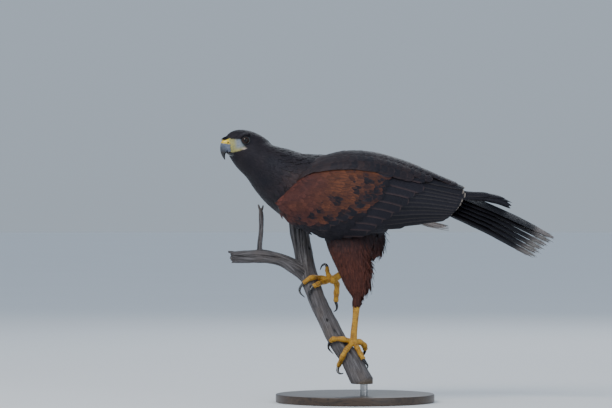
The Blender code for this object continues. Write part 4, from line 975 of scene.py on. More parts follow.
def make_leg(side, palm, leg, toes):
    """Melts tarsus, palm and toes together, raises the scutes on the outer faces and adds the four talons."""
    palm = np.asarray(palm, float)
    axes = np.eye(3)
    forms = [limb_rings(leg, 60, 24), ball_rings(palm, (PALM_RADIUS,) * 3, axes)]
    lines = [evenly(leg, 90)]
    claws = []
    for path, hook, thick in toes:
        joints = through([palm, *path], 30)
        swell = 1.0 + 0.10 * np.cos(np.linspace(0, 3, 30) * 2 * np.pi) - 0.10 * np.linspace(0, 1, 30)
        swell[-3:] *= (0.97, 0.86, 0.62)
        stations = np.column_stack([joints, thick * swell])
        forms.append(limb_rings(stations, 44, 20, (1, 0.2, 0.3)))
        lines.append(evenly(stations, 60))
        last = np.asarray(path[-1], float)
        root = last + unit(np.asarray(path[-2]) - last) * TALON_ROOT
        rows = through([root, last, *hook], 40)
        radii = TALON_POINT + (TALON_THICK - TALON_POINT) * np.linspace(1, 0, 40) ** 0.65
        claws.append(limb_rings(np.column_stack([rows, radii]), 32, 16, (1, 0.2, 0.3)))
    made = melted(f"leg_{side}", forms, leg_finish, LEG_VOXEL, 4)
    points, normals = points_of(made)
    branch = branch_rows[nearest_row(points, branch_rows)]
    best = np.full(len(points), 1e9)
    height, seam = np.zeros(len(points)), np.zeros(len(points))
    for number, rows in enumerate(lines):
        k = nearest_row(points, rows)
        apart = np.linalg.norm(points - rows[k, :3], axis=1) - rows[k, 3]
        run = k * np.linalg.norm(rows[1, :3] - rows[0, :3])
        away = unit(rows[k, :3] - branch[:, :3]) if number else unit((-1.0, -0.25, 0))
        facing = np.clip(((normals * away).sum(1) - 0.05) * 2.2, 0, 1)
        phase = (run / SCUTE_STEP) % 1
        saw = np.clip(phase * 1.15, 0, 1) * (1 - np.exp(-((1 - phase) / 0.10) ** 2))
        mine = apart < best
        best = np.where(mine, apart, best)
        height = np.where(mine, saw * facing * SCUTE_RISE, height)
        seam = np.where(mine, np.exp(-(np.minimum(phase, 1 - phase) / 0.09) ** 2) * facing, seam)
    points = points + normals * height[:, None]
    away = points - branch[:, :3]
    gap = np.linalg.norm(away, axis=1)
    inside = np.maximum(branch[:, 3] + 0.2 - gap, 0)
    points += unit(away) * inside[:, None]
    move_points(made, points)
    mark(made, "seam", seam)
    place_piece(made, "yellow_skin", f"tarsus_{side}", f"foot_{side}")
    talons = joined(f"talons_{side}", claws, talon_finish)
    place_piece(talons, "talon_horn", *[f"talon_{side}_{number}" for number in (1, 2, 3, 4)])


make_leg("left", LEFT_PALM, LEFT_LEG, LEFT_TOES)
make_leg("right", RIGHT_PALM, RIGHT_LEG, RIGHT_TOES)


# The body feathers: small, overlapping, round-tipped vanes that lie backwards from the bill over head, neck,
# breast and back. Each is a thin solid blade rooted in the skin, smallest on the face.

FACE_SPACING, CROWN_SPACING, NECK_SPACING, BODY_SPACING = 1.25, 2.1, 3.2, 5.0
BLADE_DEPTH = 0.22
ROUND_TIP = ((0.0, 0.42), (0.25, 0.85), (0.5, 1.0), (0.72, 0.96), (0.88, 0.72), (0.97, 0.40), (1.0, 0.14))
LANCE_TIP = ((0.0, 0.45), (0.22, 0.9), (0.42, 1.0), (0.62, 0.86), (0.8, 0.6), (0.93, 0.3), (1.0, 0.05))
PATCH = 0.003

def feather_finish(name, roughness, streak, relief):
    """Feather material: the mesh's own tint, streaked along slanting barbs on both sides of the shaft, with a
    blue-tinted specular as a painted sky reflection.
    """
    material, tree, shader = finish(name, roughness, Specular_IOR_Level=0.28)
    # The specular is tinted blue: a painted reflection of a blue sky.
    shader.inputs["Specular Tint"].default_value = (0.80, 0.84, 1.0, 1.0)
    across, along, seed = node(tree, "ShaderNodeSeparateXYZ", {"Vector": read(tree, "vane")}).outputs[:3]
    out = maths(tree, "ABSOLUTE", across)
    barb = maths(tree, "SUBTRACT", along, maths(tree, "MULTIPLY", out, 1.1))
    sideways = maths(tree, "MULTIPLY", out, 0.10)
    slant = node(tree, "ShaderNodeCombineXYZ", {"X": barb, "Y": sideways, "Z": seed})
    barbs = noise(tree, slant.outputs[0], 1.7, 3.0)
    clumps = noise(tree, slant.outputs[0], 0.45, 2.0)
    tone = maths(tree, "MULTIPLY_ADD", maths(tree, "ADD", barbs, clumps), streak, 1.0 - streak)
    grey = node(tree, "ShaderNodeCombineColor", {"Red": tone, "Green": tone, "Blue": tone}).outputs[0]
    tint = blend(tree, 1.0, read(tree, "tint", "Color"), grey, "MULTIPLY")
    shaft = ramp(tree, out, ((0.0, 1.0), (0.35, 0.0)))
    tint = blend(tree, maths(tree, "MULTIPLY", shaft, 0.35), tint, (0.012, 0.009, 0.009))
    paint(tree, shader, tint)
    paint(tree, shader, maths(tree, "MULTIPLY_ADD", barbs, 0.3, roughness - 0.15), "Roughness")
    bump(tree, shader, maths(tree, "ADD", barbs, maths(tree, "MULTIPLY", clumps, 0.8)), relief, 0.8)
    return material


dark_finish = feather_finish("dark_feathers", 0.50, 0.75, 0.0006)
rufous_finish = feather_finish("rufous_feathers", 0.62, 0.65, 0.0007)


def surface_of(points, faces):
    """A search tree of a surface, and for each face the mean of its corners' normals, each of them the sum of
    the faces round it."""
    corners = points[faces]
    if faces.shape[1] == 4:
        normals = np.cross(corners[:, 2] - corners[:, 0], corners[:, 3] - corners[:, 1])
    else:
        normals = np.cross(corners[:, 1] - corners[:, 0], corners[:, 2] - corners[:, 0])
    total = np.zeros_like(points)
    for k in range(faces.shape[1]):
        np.add.at(total, faces[:, k], normals)
    smooth = unit(unit(total)[faces].mean(axis=1))
    return BVHTree.FromPolygons(points.tolist(), faces.tolist()), smooth


def settle_on(surface, points):
    """The nearest points of a surface, and its normals there."""
    tree, normals = surface
    flat = points.reshape(-1, 3)
    found = [tree.find_nearest(point) for point in flat.tolist()]
    spots = np.array([hit[0][:] for hit in found])
    facing = normals[np.array([hit[2] for hit in found])]
    return spots.reshape(points.shape), facing.reshape(points.shape)


def blades(surface, lines, facing, widths, outline, heights, depth, columns=3, crown=0.10, tilt=0.0):
    """Feathers as closed blades. lines is N centre lines of R points, facing their outward normals; each row
    is spread across by the outline, laid on the surface, raised by heights, crowned along its middle and
    tilted."""
    count, rows = lines.shape[:2]
    along = unit(np.gradient(lines, axis=1))
    across = unit(np.cross(along, facing))
    half = widths[:, None] / 2 * outline
    x = np.linspace(-1, 1, columns)
    grid = lines[:, :, None] + across[:, :, None] * (half[:, :, None] * x)[..., None]
    normals = np.broadcast_to(facing[:, :, None], grid.shape)
    if surface is not None:
        grid, normals = settle_on(surface, grid)
    tall = heights[:, :, None] + half[:, :, None] * (crown * (1 - x ** 2) + tilt * x)
    top = grid + normals * tall[..., None]
    run = np.linspace(1, 0.45, rows)[None, :, None]
    inner = slice(1, columns - 1)
    low = top[:, :, inner] - normals[:, :, inner] * (depth * run * (1 - 0.5 * x[inner] ** 2))[..., None]
    ring = np.concatenate([top, low[:, :, ::-1]], axis=2)
    sides = np.concatenate([x, x[inner][::-1]])
    steps = np.linalg.norm(np.diff(lines, axis=1), axis=2)
    run = np.concatenate([np.zeros((count, 1)), np.cumsum(steps, axis=1)], axis=1)
    return ring, half[:, :, None] * sides, np.broadcast_to(run[:, :, None], ring.shape[:3])


def look_up(table, x, column=1):
    """A column of a table at x, in straight runs between the rows."""
    table = np.asarray(table, float)
    return np.interp(x, table[:, 0], table[:, column])


def outline_rows(profile, rows):
    """The outline's width shares at even steps along the feather, closer together at the tip."""
    shares = np.linspace(0, 1, rows) ** 0.8
    return shares, look_up(profile, shares)


def free_blades(paths, facing, widths, profile, rows, columns, depth, crown):
    """Blades along free paths with given outward normals."""
    shares, outline = outline_rows(profile, rows)
    lines = np.array([through(path, 80)[np.round(shares * 79).astype(int)] for path in paths])
    normals = np.broadcast_to(unit(facing)[:, None], lines.shape)
    heights = np.zeros(lines.shape[:2])
    return blades(None, lines, normals, widths, outline, heights, depth, columns, crown)


def feather_piece(name, parts, material, slot, nodes=()):
    """One mesh of many blades. Each part is its ring points, across and along coordinates, tints and patches
    on the unwrap of the skin."""
    points, quads, caps, vane, tint, uv, start = [], [], {}, [], [], [], 0
    rng = np.random.default_rng(len(name))
    for ring, across, along, tints, roots in parts:
        count, rows, sides = ring.shape[:3]
        index = np.arange(count * rows * sides).reshape(count, rows, sides) + start
        a, b = index[:, :-1], np.roll(index, -1, axis=2)[:, :-1]
        c, d = np.roll(index, -1, axis=2)[:, 1:], index[:, 1:]
        quads.append(np.stack([a, b, c, d], axis=-1).reshape(-1, 4))
        caps.setdefault(sides, []).extend([index[:, 0, ::-1], index[:, -1]])
        points.append(ring.reshape(-1, 3))
        seed = np.broadcast_to(rng.random((count, 1, 1)) * 400, across.shape)
        vane.append(np.stack([across, along, seed], axis=-1).reshape(-1, 3))
        tint.append(np.broadcast_to(tints, (*ring.shape[:3], 3)).reshape(-1, 3))
        share = along / np.maximum(along[:, -1:, :], 1e-6)
        wide = across / np.maximum(np.abs(across).max(axis=(1, 2), keepdims=True), 1e-6)
        patch = np.stack([wide * PATCH / 2, (share - 0.5) * PATCH], axis=-1) + roots[:, None, None]
        uv.append(patch.reshape(-1, 2))
        start += count * rows * sides
    faces = [np.concatenate(quads)] + [np.concatenate(group) for group in caps.values()]
    made = shape(name, np.concatenate(points), faces, material, 60.0)
    mark(made, "vane", np.concatenate(vane))
    colours = np.concatenate(tint)
    colours = np.column_stack([colours, np.ones(len(colours))])
    layer = made.data.attributes.new("tint", "FLOAT_COLOR", "POINT")
    layer.data.foreach_set("color", colours.astype(np.float32).ravel())
    corner = np.empty(len(made.data.loops), np.int32)
    made.data.loops.foreach_get("vertex_index", corner)
    bake = made.data.uv_layers.new(name="OFBake")
    bake.data.foreach_set("uv", np.concatenate(uv)[corner].astype(np.float32).ravel())
    return place_piece(made, slot, *nodes)


def scatter(points, faces, spacing, seed):
    """Spots spread over triangles, none nearer to another than the spacing at its place, and their faces."""
    rng = np.random.default_rng(seed)
    corners = points[faces]
    area = np.linalg.norm(np.cross(corners[:, 1] - corners[:, 0], corners[:, 2] - corners[:, 0]), axis=1) / 2
    weight = np.where(spacing > 0, area / np.maximum(spacing, 0.1) ** 2, 0)
    count = int(weight.sum() * 5)
    pick = rng.choice(len(faces), count, p=weight / weight.sum())
    a, b = rng.random((2, count))
    flip = a + b > 1
    a, b = np.where(flip, 1 - a, a), np.where(flip, 1 - b, b)
    tri = corners[pick]
    spots = tri[:, 0] + a[:, None] * (tri[:, 1] - tri[:, 0]) + b[:, None] * (tri[:, 2] - tri[:, 0])
    tree = KDTree(count)
    for number, spot in enumerate(spots.tolist()):
        tree.insert(spot, number)
    tree.balance()
    reach = spacing[pick]
    taken, kept = np.zeros(count, bool), []
    for number in range(count):
        if taken[number]:
            continue
        kept.append(number)
        for _, other, _ in tree.find_range(spots[number].tolist(), reach[number]):
            taken[other] = True
    return spots[kept], pick[kept]


skin_points, _ = points_of(skin)
skin.data.calc_loop_triangles()
skin_faces = np.empty(len(skin.data.loop_triangles) * 3, np.int32)
skin.data.loop_triangles.foreach_get("vertices", skin_faces)
skin_faces = skin_faces.reshape(-1, 3)
skin_surface = surface_of(skin_points, skin_faces)
spine_table = spine_rows(300)


def on_spine(points):
    """Each point's share along the spine, its angle round it, how far out it is and the spine's direction."""
    centre, along, across, upward, wide, high = spine_table
    k = nearest_row(points, centre)
    out = points - centre[k]
    side, up = (out * across[k]).sum(1), (out * upward[k]).sum(1)
    return k / 299, np.arctan2(up, side), np.hypot(side / wide[k], up / high[k]), along[k]


def body_lie(points, normals):
    """The lie of the feathers, the head's share of it, and whether a point is on a leg: away from the bill on
    the head, along the spine behind it and down the thighs."""
    share, angle, out, along = on_spine(points)
    forward, left, up = head_frame(points)
    on_head = smooth_step(-34, -16, forward) * (points[:, 0] < -120)
    bill = in_head(31.0, 0, -1.0)
    flow = unit(points - bill)
    leg = smooth_step(1.02, 1.20, out) * (points[:, 2] < 262) * (points[:, 0] > -62)
    lie = along * (1 - on_head)[:, None] + flow * on_head[:, None]
    lie = lie * (1 - leg)[:, None] + np.array([0.10, 0, -1.0]) * leg[:, None]
    lie -= normals * (lie * normals).sum(1)[:, None]
    return unit(lie), on_head, leg


def eye_gap(points):
    """How far each point lies from the nearer eye's line of sight, less the lids' radius."""
    gaps = []
    for side in (1, -1):
        place, gaze = eye_of(side)
        out = points - place
        depth = out @ gaze
        apart = np.linalg.norm(out - depth[:, None] * gaze, axis=1)
        gaps.append(np.where(depth > -3, apart, 99.0))
    return np.minimum(*gaps) - LID_RADIUS


def under_wing(points, side):
    """True where the folded wing covers the body."""
    x, y, z = points.T
    top = np.interp(x, (-108, -75, -40, 10, 60, 112), (290, 318, 334, 338, 330, 316))
    low = np.interp(x, (-108, -75, -40, 10, 60, 112), (282, 262, 254, 252, 268, 276))
    return (y * side > 8) & (z < top) & (z > low) & (x > -100) & (x < 112)


def body_sizes(points, normals):
    """Spacing, length and width of the feather that grows at each point, 0 where none does."""
    forward, left, up = head_frame(points)
    lie, on_head, leg = body_lie(points, normals)
    share = on_spine(points)[0]
    face = smooth_step(2, 16, forward) * on_head
    near_eye = (1 - smooth_step(0, 9, eye_gap(points))) * on_head
    small = np.maximum(face, near_eye * 0.85)
    neck = smooth_step(0.16, 0.44, share)
    spacing = NECK_SPACING + (BODY_SPACING - NECK_SPACING) * neck
    spacing = spacing + (CROWN_SPACING - spacing) * on_head
    spacing = spacing + (FACE_SPACING - spacing) * small
    grow = (leg < 0.35) & (eye_gap(points) > -1.1)
    grow &= ~((bare_share(forward, up) > 0.45) & (forward > -2) & (on_head > 0.5) & (np.abs(left) > 2))
    in_bill = (forward > 23.0) & (np.hypot(left / 9.0, (up - 0.2) / 11.2) < 1.0) & (up < 9.0)
    grow &= ~in_bill & (share < 0.985)
    grow &= ~(under_wing(points, 1) | under_wing(points, -1))
    return np.where(grow, spacing, 0), lie, on_head


face_middle = skin_points[skin_faces].mean(axis=1)
face_normal = skin_surface[1]
spacing, _, _ = body_sizes(face_middle, face_normal)
roots, root_faces = scatter(skin_points, skin_faces, spacing, 7)
root_normals = face_normal[root_faces]
root_spacing, root_lie, root_head = body_sizes(roots, root_normals)
grown = root_spacing > 0
roots, root_normals, root_spacing, root_lie, root_head = (
    part[grown] for part in (roots, root_normals, root_spacing, root_lie, root_head))
rng = np.random.default_rng(11)
lengths = root_spacing * (3.1 + 0.6 * rng.random(len(roots)))
widths = root_spacing * (1.45 + 0.35 * rng.random(len(roots)))
shares, lance = np.transpose(LANCE_TIP)
back_share = smooth_step(0.15, 0.6, on_spine(roots)[0])[:, None]
outline = lance + (look_up(ROUND_TIP, shares) - lance) * back_share * 0.8
turn = (rng.random(len(roots)) - 0.5) * 0.34
sideways = np.cross(root_normals, root_lie)
heading = root_lie * np.cos(turn)[:, None] + sideways * np.sin(turn)[:, None]
lines = roots[:, None] + heading[:, None] * (lengths[:, None] * shares)[..., None]
stand = root_spacing * (0.22 + 0.10 * rng.random(len(roots)))
heights = 0.10 + stand[:, None] * shares ** 1.15
facing = np.broadcast_to(root_normals[:, None], lines.shape)
spine_share, spine_angle, _, _ = on_spine(roots)
root_patch = np.stack([0.02 + 0.96 * spine_share, 0.02 + 0.96 * (spine_angle / (2 * np.pi) + 0.5)], axis=1)

DARK = np.array([0.0072, 0.0058, 0.0080])
BROWN = np.array([0.036, 0.020, 0.017])
brownish = np.exp(-((roots[:, 0] + 86) / 26) ** 2 - ((roots[:, 2] - 322) / 15) ** 2)
brownish = np.clip(0.10 + 0.16 * rough(roots, 14.0, 21) + 0.75 * brownish, 0, 1)
body_tint = DARK + (BROWN - DARK) * brownish[:, None]
body_tint = body_tint * (0.75 + 0.5 * rng.random((len(roots), 1)))


def body_part(chosen, columns=3):
    """Blades for the chosen roots, a little paler towards the edges and tip."""
    ring, across, along = blades(skin_surface, lines[chosen], facing[chosen], widths[chosen], outline[chosen],
                                 heights[chosen], BLADE_DEPTH, columns)
    wide = np.abs(across) / np.maximum(widths[chosen][:, None, None] / 2, 1e-6)
    edge = np.clip(wide ** 3 * 0.8 + (along / lengths[chosen][:, None, None]) ** 6 * 0.7, 0, 1)
    tints = body_tint[chosen][:, None, None] * (1 + 0.6 * edge[..., None])
    return ring, across, along, tints, root_patch[chosen]


is_head = root_head > 0.5
is_front = ~is_head & (spine_share < 0.42)
is_back = ~is_head & ~is_front


FRINGE_BRISTLES = 120


def bristles():
    """Fine black bristles: a fringe that leans over the cere, and thin ones scattered over the bare face."""
    rng = np.random.default_rng(17)
    left = np.linspace(-6.0, 6.0, FRINGE_BRISTLES) + rng.normal(0, 0.3, FRINGE_BRISTLES)
    back, fall = rng.uniform(0, 7.0, FRINGE_BRISTLES), np.abs(left) * 0.45
    starts = in_head(26.0 - back, left, 13.0 - fall + 0.10 * back)
    ends = in_head(36.8 - fall - back * 1.3, left * 0.8, 10.0 - fall + 0.15 * back)
    paths = np.stack([starts, (starts + ends) / 2 + UP * 0.7, ends], axis=1)
    facing = unit(UP + LEFT * left[:, None] * 0.10 + FORWARD * 0.3)
    fringe = free_blades(paths, facing, np.full(FRINGE_BRISTLES, 1.9), LANCE_TIP, 9, 3, 0.3, 0.1)
    forward, _, up = head_frame(face_middle)
    grow = (bare_share(forward, up) > 0.7) & (forward > 9) & (forward < 25)
    spots, hit = scatter(skin_points, skin_faces, np.where(grow, 2.1, 0), 19)
    normals, count = face_normal[hit], len(spots)
    lie = body_lie(spots, normals)[0] + UP * rng.normal(0.35, 0.3, (count, 1))
    lie = unit(lie - normals * (lie * normals).sum(1)[:, None])
    shares, outline = np.transpose(LANCE_TIP)
    run = rng.uniform(1.8, 3.6, count)
    lines = spots[:, None] + lie[:, None] * (run[:, None] * shares)[..., None]
    rise = 0.05 + rng.uniform(0.3, 1.0, count)[:, None] * shares
    facing = np.broadcast_to(normals[:, None], lines.shape)
    thin = blades(skin_surface, lines, facing, np.full(count, 0.14), outline, rise, 0.08)
    return [(*made, DARK * 0.8, np.full((len(made[0]), 2), 0.01)) for made in (fringe, thin)]


feather_piece("head_feathers", [body_part(is_head), *bristles()], dark_finish, "dark_plumage")
feather_piece("neck_and_breast_feathers", [body_part(is_front)], dark_finish, "dark_plumage")
feather_piece("back_and_belly_feathers", [body_part(is_back, 5)], dark_finish, "dark_plumage")


# The trousers: long, soft, rufous feathers with loose tips that hang round each thigh, shaggy down its rear
# edge and short round the top of the bare leg.

LOCK_TIP = ((0.0, 0.55), (0.2, 0.95), (0.45, 1.0), (0.7, 0.72), (0.88, 0.38), (1.0, 0.06))
TROUSER_SPACING = 2.35
RUFOUS = np.array([0.082, 0.023, 0.012])
SMOKY = np.array([0.009, 0.0055, 0.006])

leg_spacing = np.where(body_lie(face_middle, face_normal)[2] > 0.25, TROUSER_SPACING, 0)
leg_spacing = np.where(face_middle[:, 2] < 160, leg_spacing * 0.8, leg_spacing)
leg_spacing = np.where((face_middle[:, 2] < 141) & (face_middle[:, 1] < 0), 0, leg_spacing)


HEM_LOCKS = 84


def hem(leg, rng):
    """A ring of short locks that closes the thigh's foot round the top of the tarsus."""
    top, after = np.array(leg[0][:3]), np.array(leg[1][:3])
    along = unit(after - top)
    side = unit(np.cross(along, (0, 1, 0.3)))
    turn = np.linspace(0, 4 * np.pi, HEM_LOCKS, endpoint=False) + rng.normal(0, 0.05, HEM_LOCKS)
    out = side * np.cos(turn)[:, None] + np.cross(along, side) * np.sin(turn)[:, None]
    out = out * (1 + 0.12 * rng.random((HEM_LOCKS, 1)))
    first, last = -9 - 4 * rng.random(HEM_LOCKS), 4.0 * rng.random(HEM_LOCKS)
    stations = ((first, 5.0), (np.full(HEM_LOCKS, -4.0), 5.9), (last, 5.2))
    paths = np.stack([top + along * run[:, None] + out * reach for run, reach in stations], axis=1)
    return free_blades(paths, out, np.full(HEM_LOCKS, 1.9), LOCK_TIP, 9, 3, 0.25, 0.1)


def trousers(name, side, seed, leg):
    """Locks on one thigh: longer, looser and further out towards the rear."""
    chosen = np.where(face_middle[:, 1] * side > 0, leg_spacing, 0)
    spots, hit = scatter(skin_points, skin_faces, chosen, seed)
    normals = face_normal[hit]
    lie, _, _ = body_lie(spots, normals)
    rng = np.random.default_rng(seed)
    rear = smooth_step(-0.1, 0.9, normals[:, 0])
    low = 1 - smooth_step(150, 185, spots[:, 2]) if side < 0 else 1 - smooth_step(205, 225, spots[:, 2])
    length = (13.0 + 6.0 * rng.random(len(spots)) + 9.0 * rear * rng.random(len(spots))) * (1 - 0.45 * low)
    width = 2.3 + 1.1 * rng.random(len(spots))
    turn = (rng.random(len(spots)) - 0.5) * 0.5
    sideways = np.cross(normals, lie)
    loose = rear * rng.random(len(spots)) * 0.6
    head = unit(lie * np.cos(turn)[:, None] + sideways * np.sin(turn)[:, None] + loose[:, None] * (1, 0, 0.1))
    shares, outline = np.transpose(LOCK_TIP)
    lines = spots[:, None] + head[:, None] * (length[:, None] * shares)[..., None]
    lift = 0.7 + 0.8 * rng.random(len(spots)) + (0.8 + 8.0 * rng.random(len(spots)) ** 2) * rear
    heights = 0.15 + lift[:, None] * shares ** 1.5
    facing = np.broadcast_to(normals[:, None], lines.shape)
    ring, across, along = blades(skin_surface, lines, facing, width, outline, heights, 0.25)
    dark = np.clip(smooth_step(214, 250, spots[:, 2]) * 0.9 + 0.18 * rough(spots, 11.0, 31) + 0.1, 0, 1)
    tint = RUFOUS + (SMOKY - RUFOUS) * dark[:, None]
    tint = tint * (0.7 + 0.6 * rng.random((len(spots), 1)))
    tints = tint[:, None, None] * (0.82 + 0.36 * (along / length[:, None, None]))[..., None]
    angle = np.arctan2(normals[:, 1], normals[:, 0]) / (2 * np.pi) + 0.5
    patch = np.stack([0.02 + 0.96 * angle, 0.02 + 0.96 * (270 - spots[:, 2]) / 140], axis=1)
    locks = hem(leg, rng)
    locks = (*locks, RUFOUS * rng.uniform(0.4, 1.1, (HEM_LOCKS, 1, 1, 1)), np.full((HEM_LOCKS, 2), 0.01))
    feather_piece(name, [(ring, across, along, tints, patch), locks], rufous_finish, "chestnut_plumage")


trousers("trousers_left", -1, 41, LEFT_LEG)
trousers("trousers_right", 1, 43, RIGHT_LEG)


# The folded wings: on a dark curved plate lie long flight feathers, greater and median coverts in tiers, and
# small chestnut coverts over the shoulder, with broad dark scapulars along the top.

WING_ROWS = (  # x, top, bottom, half width
    (-114, 291, 281, 39),
    (-108, 301, 269, 43),
    (-97, 318, 258, 49),
    (-75, 340, 248.5, 59),
    (-45, 354, 237, 65),
    (-10, 360.5, 234, 68),
    (12, 360, 235, 67),
    (28, 357.5, 241, 65),
    (44, 354, 251, 61),
    (70, 345.5, 257, 52),
    (90, 338, 260, 45),
    (125, 323.5, 266, 34),
    (145, 316, 273, 30),
    (160, 309.5, 291, 25),
    (187, 304.5, 291.5, 19),
    (210, 298, 286.5, 15),
    (232, 286, 278, 11),
)
TOP_ANGLE = math.radians(75)
LOWER_ANGLES = ((-114, -70), (0, -62), (60, -50), (134, -35), (160, -25), (232, -20))
FLANK_SQUARE = 0.8
WING_INSET = 1.6


def wing_table(x):
    """Top, bottom and half width of the wing's face at x, and the angle where the face ends."""
    top, bottom, wide = (look_up(WING_ROWS, x, column) for column in (1, 2, 3))
    return top, bottom, wide, np.radians(look_up(LOWER_ANGLES, x))


def wing_spot(x, down, side):
    """Points of the wing's face: for each x an ellipse from its top edge at down 0 to its lower edge at 1."""
    top, bottom, wide, lower = wing_table(x)
    high = (top - bottom) / (np.sin(TOP_ANGLE) - np.sin(lower))
    angle = TOP_ANGLE + (lower - TOP_ANGLE) * down
    out = side * wide * np.maximum(np.cos(angle), 0.02) ** FLANK_SQUARE
    return np.stack([x + 0 * down, out, top - high * np.sin(TOP_ANGLE) + high * np.sin(angle)], axis=-1)


def wing_down(x, z):
    """How far down the wing's face the height z lies at x."""
    top, bottom, _, lower = wing_table(x)
    high = (top - bottom) / (np.sin(TOP_ANGLE) - np.sin(lower))
    sine = np.clip((z - top + high * np.sin(TOP_ANGLE)) / high, -1, 1)
    return (TOP_ANGLE - np.arcsin(sine)) / (TOP_ANGLE - lower)


def grid_faces(rows, columns):
    """Quads of a grid of points."""
    i, j = np.meshgrid(np.arange(rows - 1), np.arange(columns - 1), indexing="ij")
    a = i * columns + j
    return np.stack([a, a + 1, a + columns + 1, a + columns], axis=-1).reshape(-1, 4)


def wing_surface(side):
    """The wing's outer face as a search surface, a little past its edges."""
    x, down = np.meshgrid(np.linspace(-116, 236, 150), np.linspace(-0.10, 1.08, 64), indexing="ij")
    points = wing_spot(x, down, side).reshape(-1, 3)
    faces = grid_faces(*x.shape)
    return surface_of(points, faces if side < 0 else faces[:, ::-1])


plate_finish, tree, shader = finish("dark_wing_lining", 0.7)
lining = noise(tree, stretched(tree, spot_of(tree), (60.0, 60.0, 400.0)), 1.0, 4.0)
paint(tree, shader, ramp(tree, lining, ((0.3, (0.003, 0.0025, 0.003)), (0.7, (0.009, 0.0075, 0.009)))))
bump(tree, shader, lining, 0.0006, 0.6)


def make_plate(side, name):
    """The wing's closed core: its outer face set in by the coverts' depth and an inner face further in."""
    x = np.concatenate([[-113], np.linspace(-111, 112, 60)])
    downs = np.linspace(0.03, 0.94, 30)
    grid_x, grid_down = np.meshgrid(x, downs, indexing="ij")
    outer = wing_spot(grid_x, grid_down, side)
    normal = unit(np.cross(np.gradient(outer, axis=0), np.gradient(outer, axis=1))) * side
    depth = np.interp(x, (-114, -70, 30, 112), (7, 9, 6, 3.0))[:, None] * (0.3 + 0.7 * np.sin(np.pi * downs))
    inner = outer - normal * (WING_INSET + depth)[..., None]
    outer = outer - normal * WING_INSET
    ring = np.concatenate([outer, inner[:, ::-1]], axis=1)
    faces = tube_faces(*ring.shape[:2])
    faces = [group[:, ::-1] for group in faces] if side > 0 else faces
    made = shape(f"wing_core_{name}", ring, faces, plate_finish)
    place_piece(made, "dark_plumage", f"wing_{name}")


PRIMARIES = (  # x, z places from root to tip, and how far the tip stands off the wing's face
    (((104, 299), (155, 297.5), (185, 293.5), (205, 288)), -1.3),
    (((104, 300), (155, 299), (190, 294), (214, 285.5)), -0.9),
    (((104, 301), (160, 300), (200, 293), (224.5, 280.5)), -0.5),
    (((104, 303), (160, 302), (200, 295.5), (226, 284.5)), 0.1),
    (((104, 304), (160, 304), (200, 298.5), (227, 288.5)), 0.7),
    (((104, 303), (155, 303), (192, 300), (216, 294.5)), 1.3),
    (((104, 301), (150, 303), (180, 301), (196, 298.5)), 1.9),
)
PRIMARY_WIDTH = 11.0
PRIMARY_ROOT = -1.3
PRIMARY_TIP = ((0, 0.7), (0.5, 1.0), (0.75, 0.92), (0.9, 0.62), (0.97, 0.3), (1, 0.08))
QUILLS = (  # count, line of the roots, line of the tips, width, lift, drop, arch, pale sides, pale tip
    (12, ((40, 337), (14, 250)), ((157, 308), (155.5, 296), (149, 286), (143, 278), (134, 270.5)),
     15.5, 2.9, 0.17, 3.0, 0.05, 0.72),
    (6, ((-60, 247), (0, 249)), ((-4, 240.5), (122, 267)), 10.0, 0.7, 0.02, 0.0, 0.05, 0.0),
)
LARGE_COVERTS = (
    (9, ((42, 337), (-34, 247)), ((101, 321.5), (98, 309.7), (86, 303), (76, 291.5), (66, 283), (54.5, 274.8),
                                  (39, 264.5), (17, 248)), 20.0, 4.0, 0.14, 2.0, 0.315, 0.45),
    (9, ((8, 341), (-72, 256)), ((53, 329), (29.4, 301), (10, 285), (-4.6, 272), (-36, 258)),
     18.0, 4.6, 0.14, 2.0, 0.21, 0.30),
)
SCAPULAR_ROWS = (  # distance below the wing's top edge, first and last x, step
    (19, -92, 66, 8.5),
    (10, -88, 96, 8.0),
    (2.5, -84, 128, 8.0),
)
SCAPULAR_CROWDING = ((-110, 0.35), (-75, 0.5), (-49, 0.75), (-14, 1.0))
BROAD_TIP = ((0, 0.5), (0.12, 0.8), (0.3, 0.96), (0.55, 1.0), (0.78, 0.98), (0.9, 0.86), (0.96, 0.62),
             (1.0, 0.20))
QUILL_DEPTH = 0.4
CHESTNUT = np.array([0.112, 0.036, 0.014])
CHESTNUT_FRONT = np.array([0.068, 0.021, 0.0145])
FLIGHT = np.array([0.0078, 0.0062, 0.0084])
BUFF = np.array([0.50, 0.42, 0.34])
PATCH_TOP = ((-112, 300), (-95, 318), (-75, 327), (-49, 333), (-14, 337), (40, 334), (56, 327))
PATCH_LOW = ((-115, 269), (-100, 265), (-84, 260), (-40, 257), (-3, 267.7), (28, 291), (39, 317), (50, 328))
SPOTS = (  # x, z, radius
    (16, 319, 8), (1.5, 307, 6), (14.5, 297, 8), (24.7, 299, 8), (-33, 297, 5), (-24.7, 292, 6),
    (-53.7, 278, 5), (-39, 267, 7), (-19, 274, 6.5), (-7, 279, 6.5), (6, 289, 6), (-62, 268, 5),
    (30, 310, 5), (34, 322, 4), (-80, 268, 4), (-26, 262, 6), (-47, 289, 3), (-3, 318, 3),
)


def tip_line(points, count):
    """Points at even steps along a line through x, z places."""
    places = np.column_stack([points, np.zeros(len(points))])
    return evenly(places, count)[:, :2]


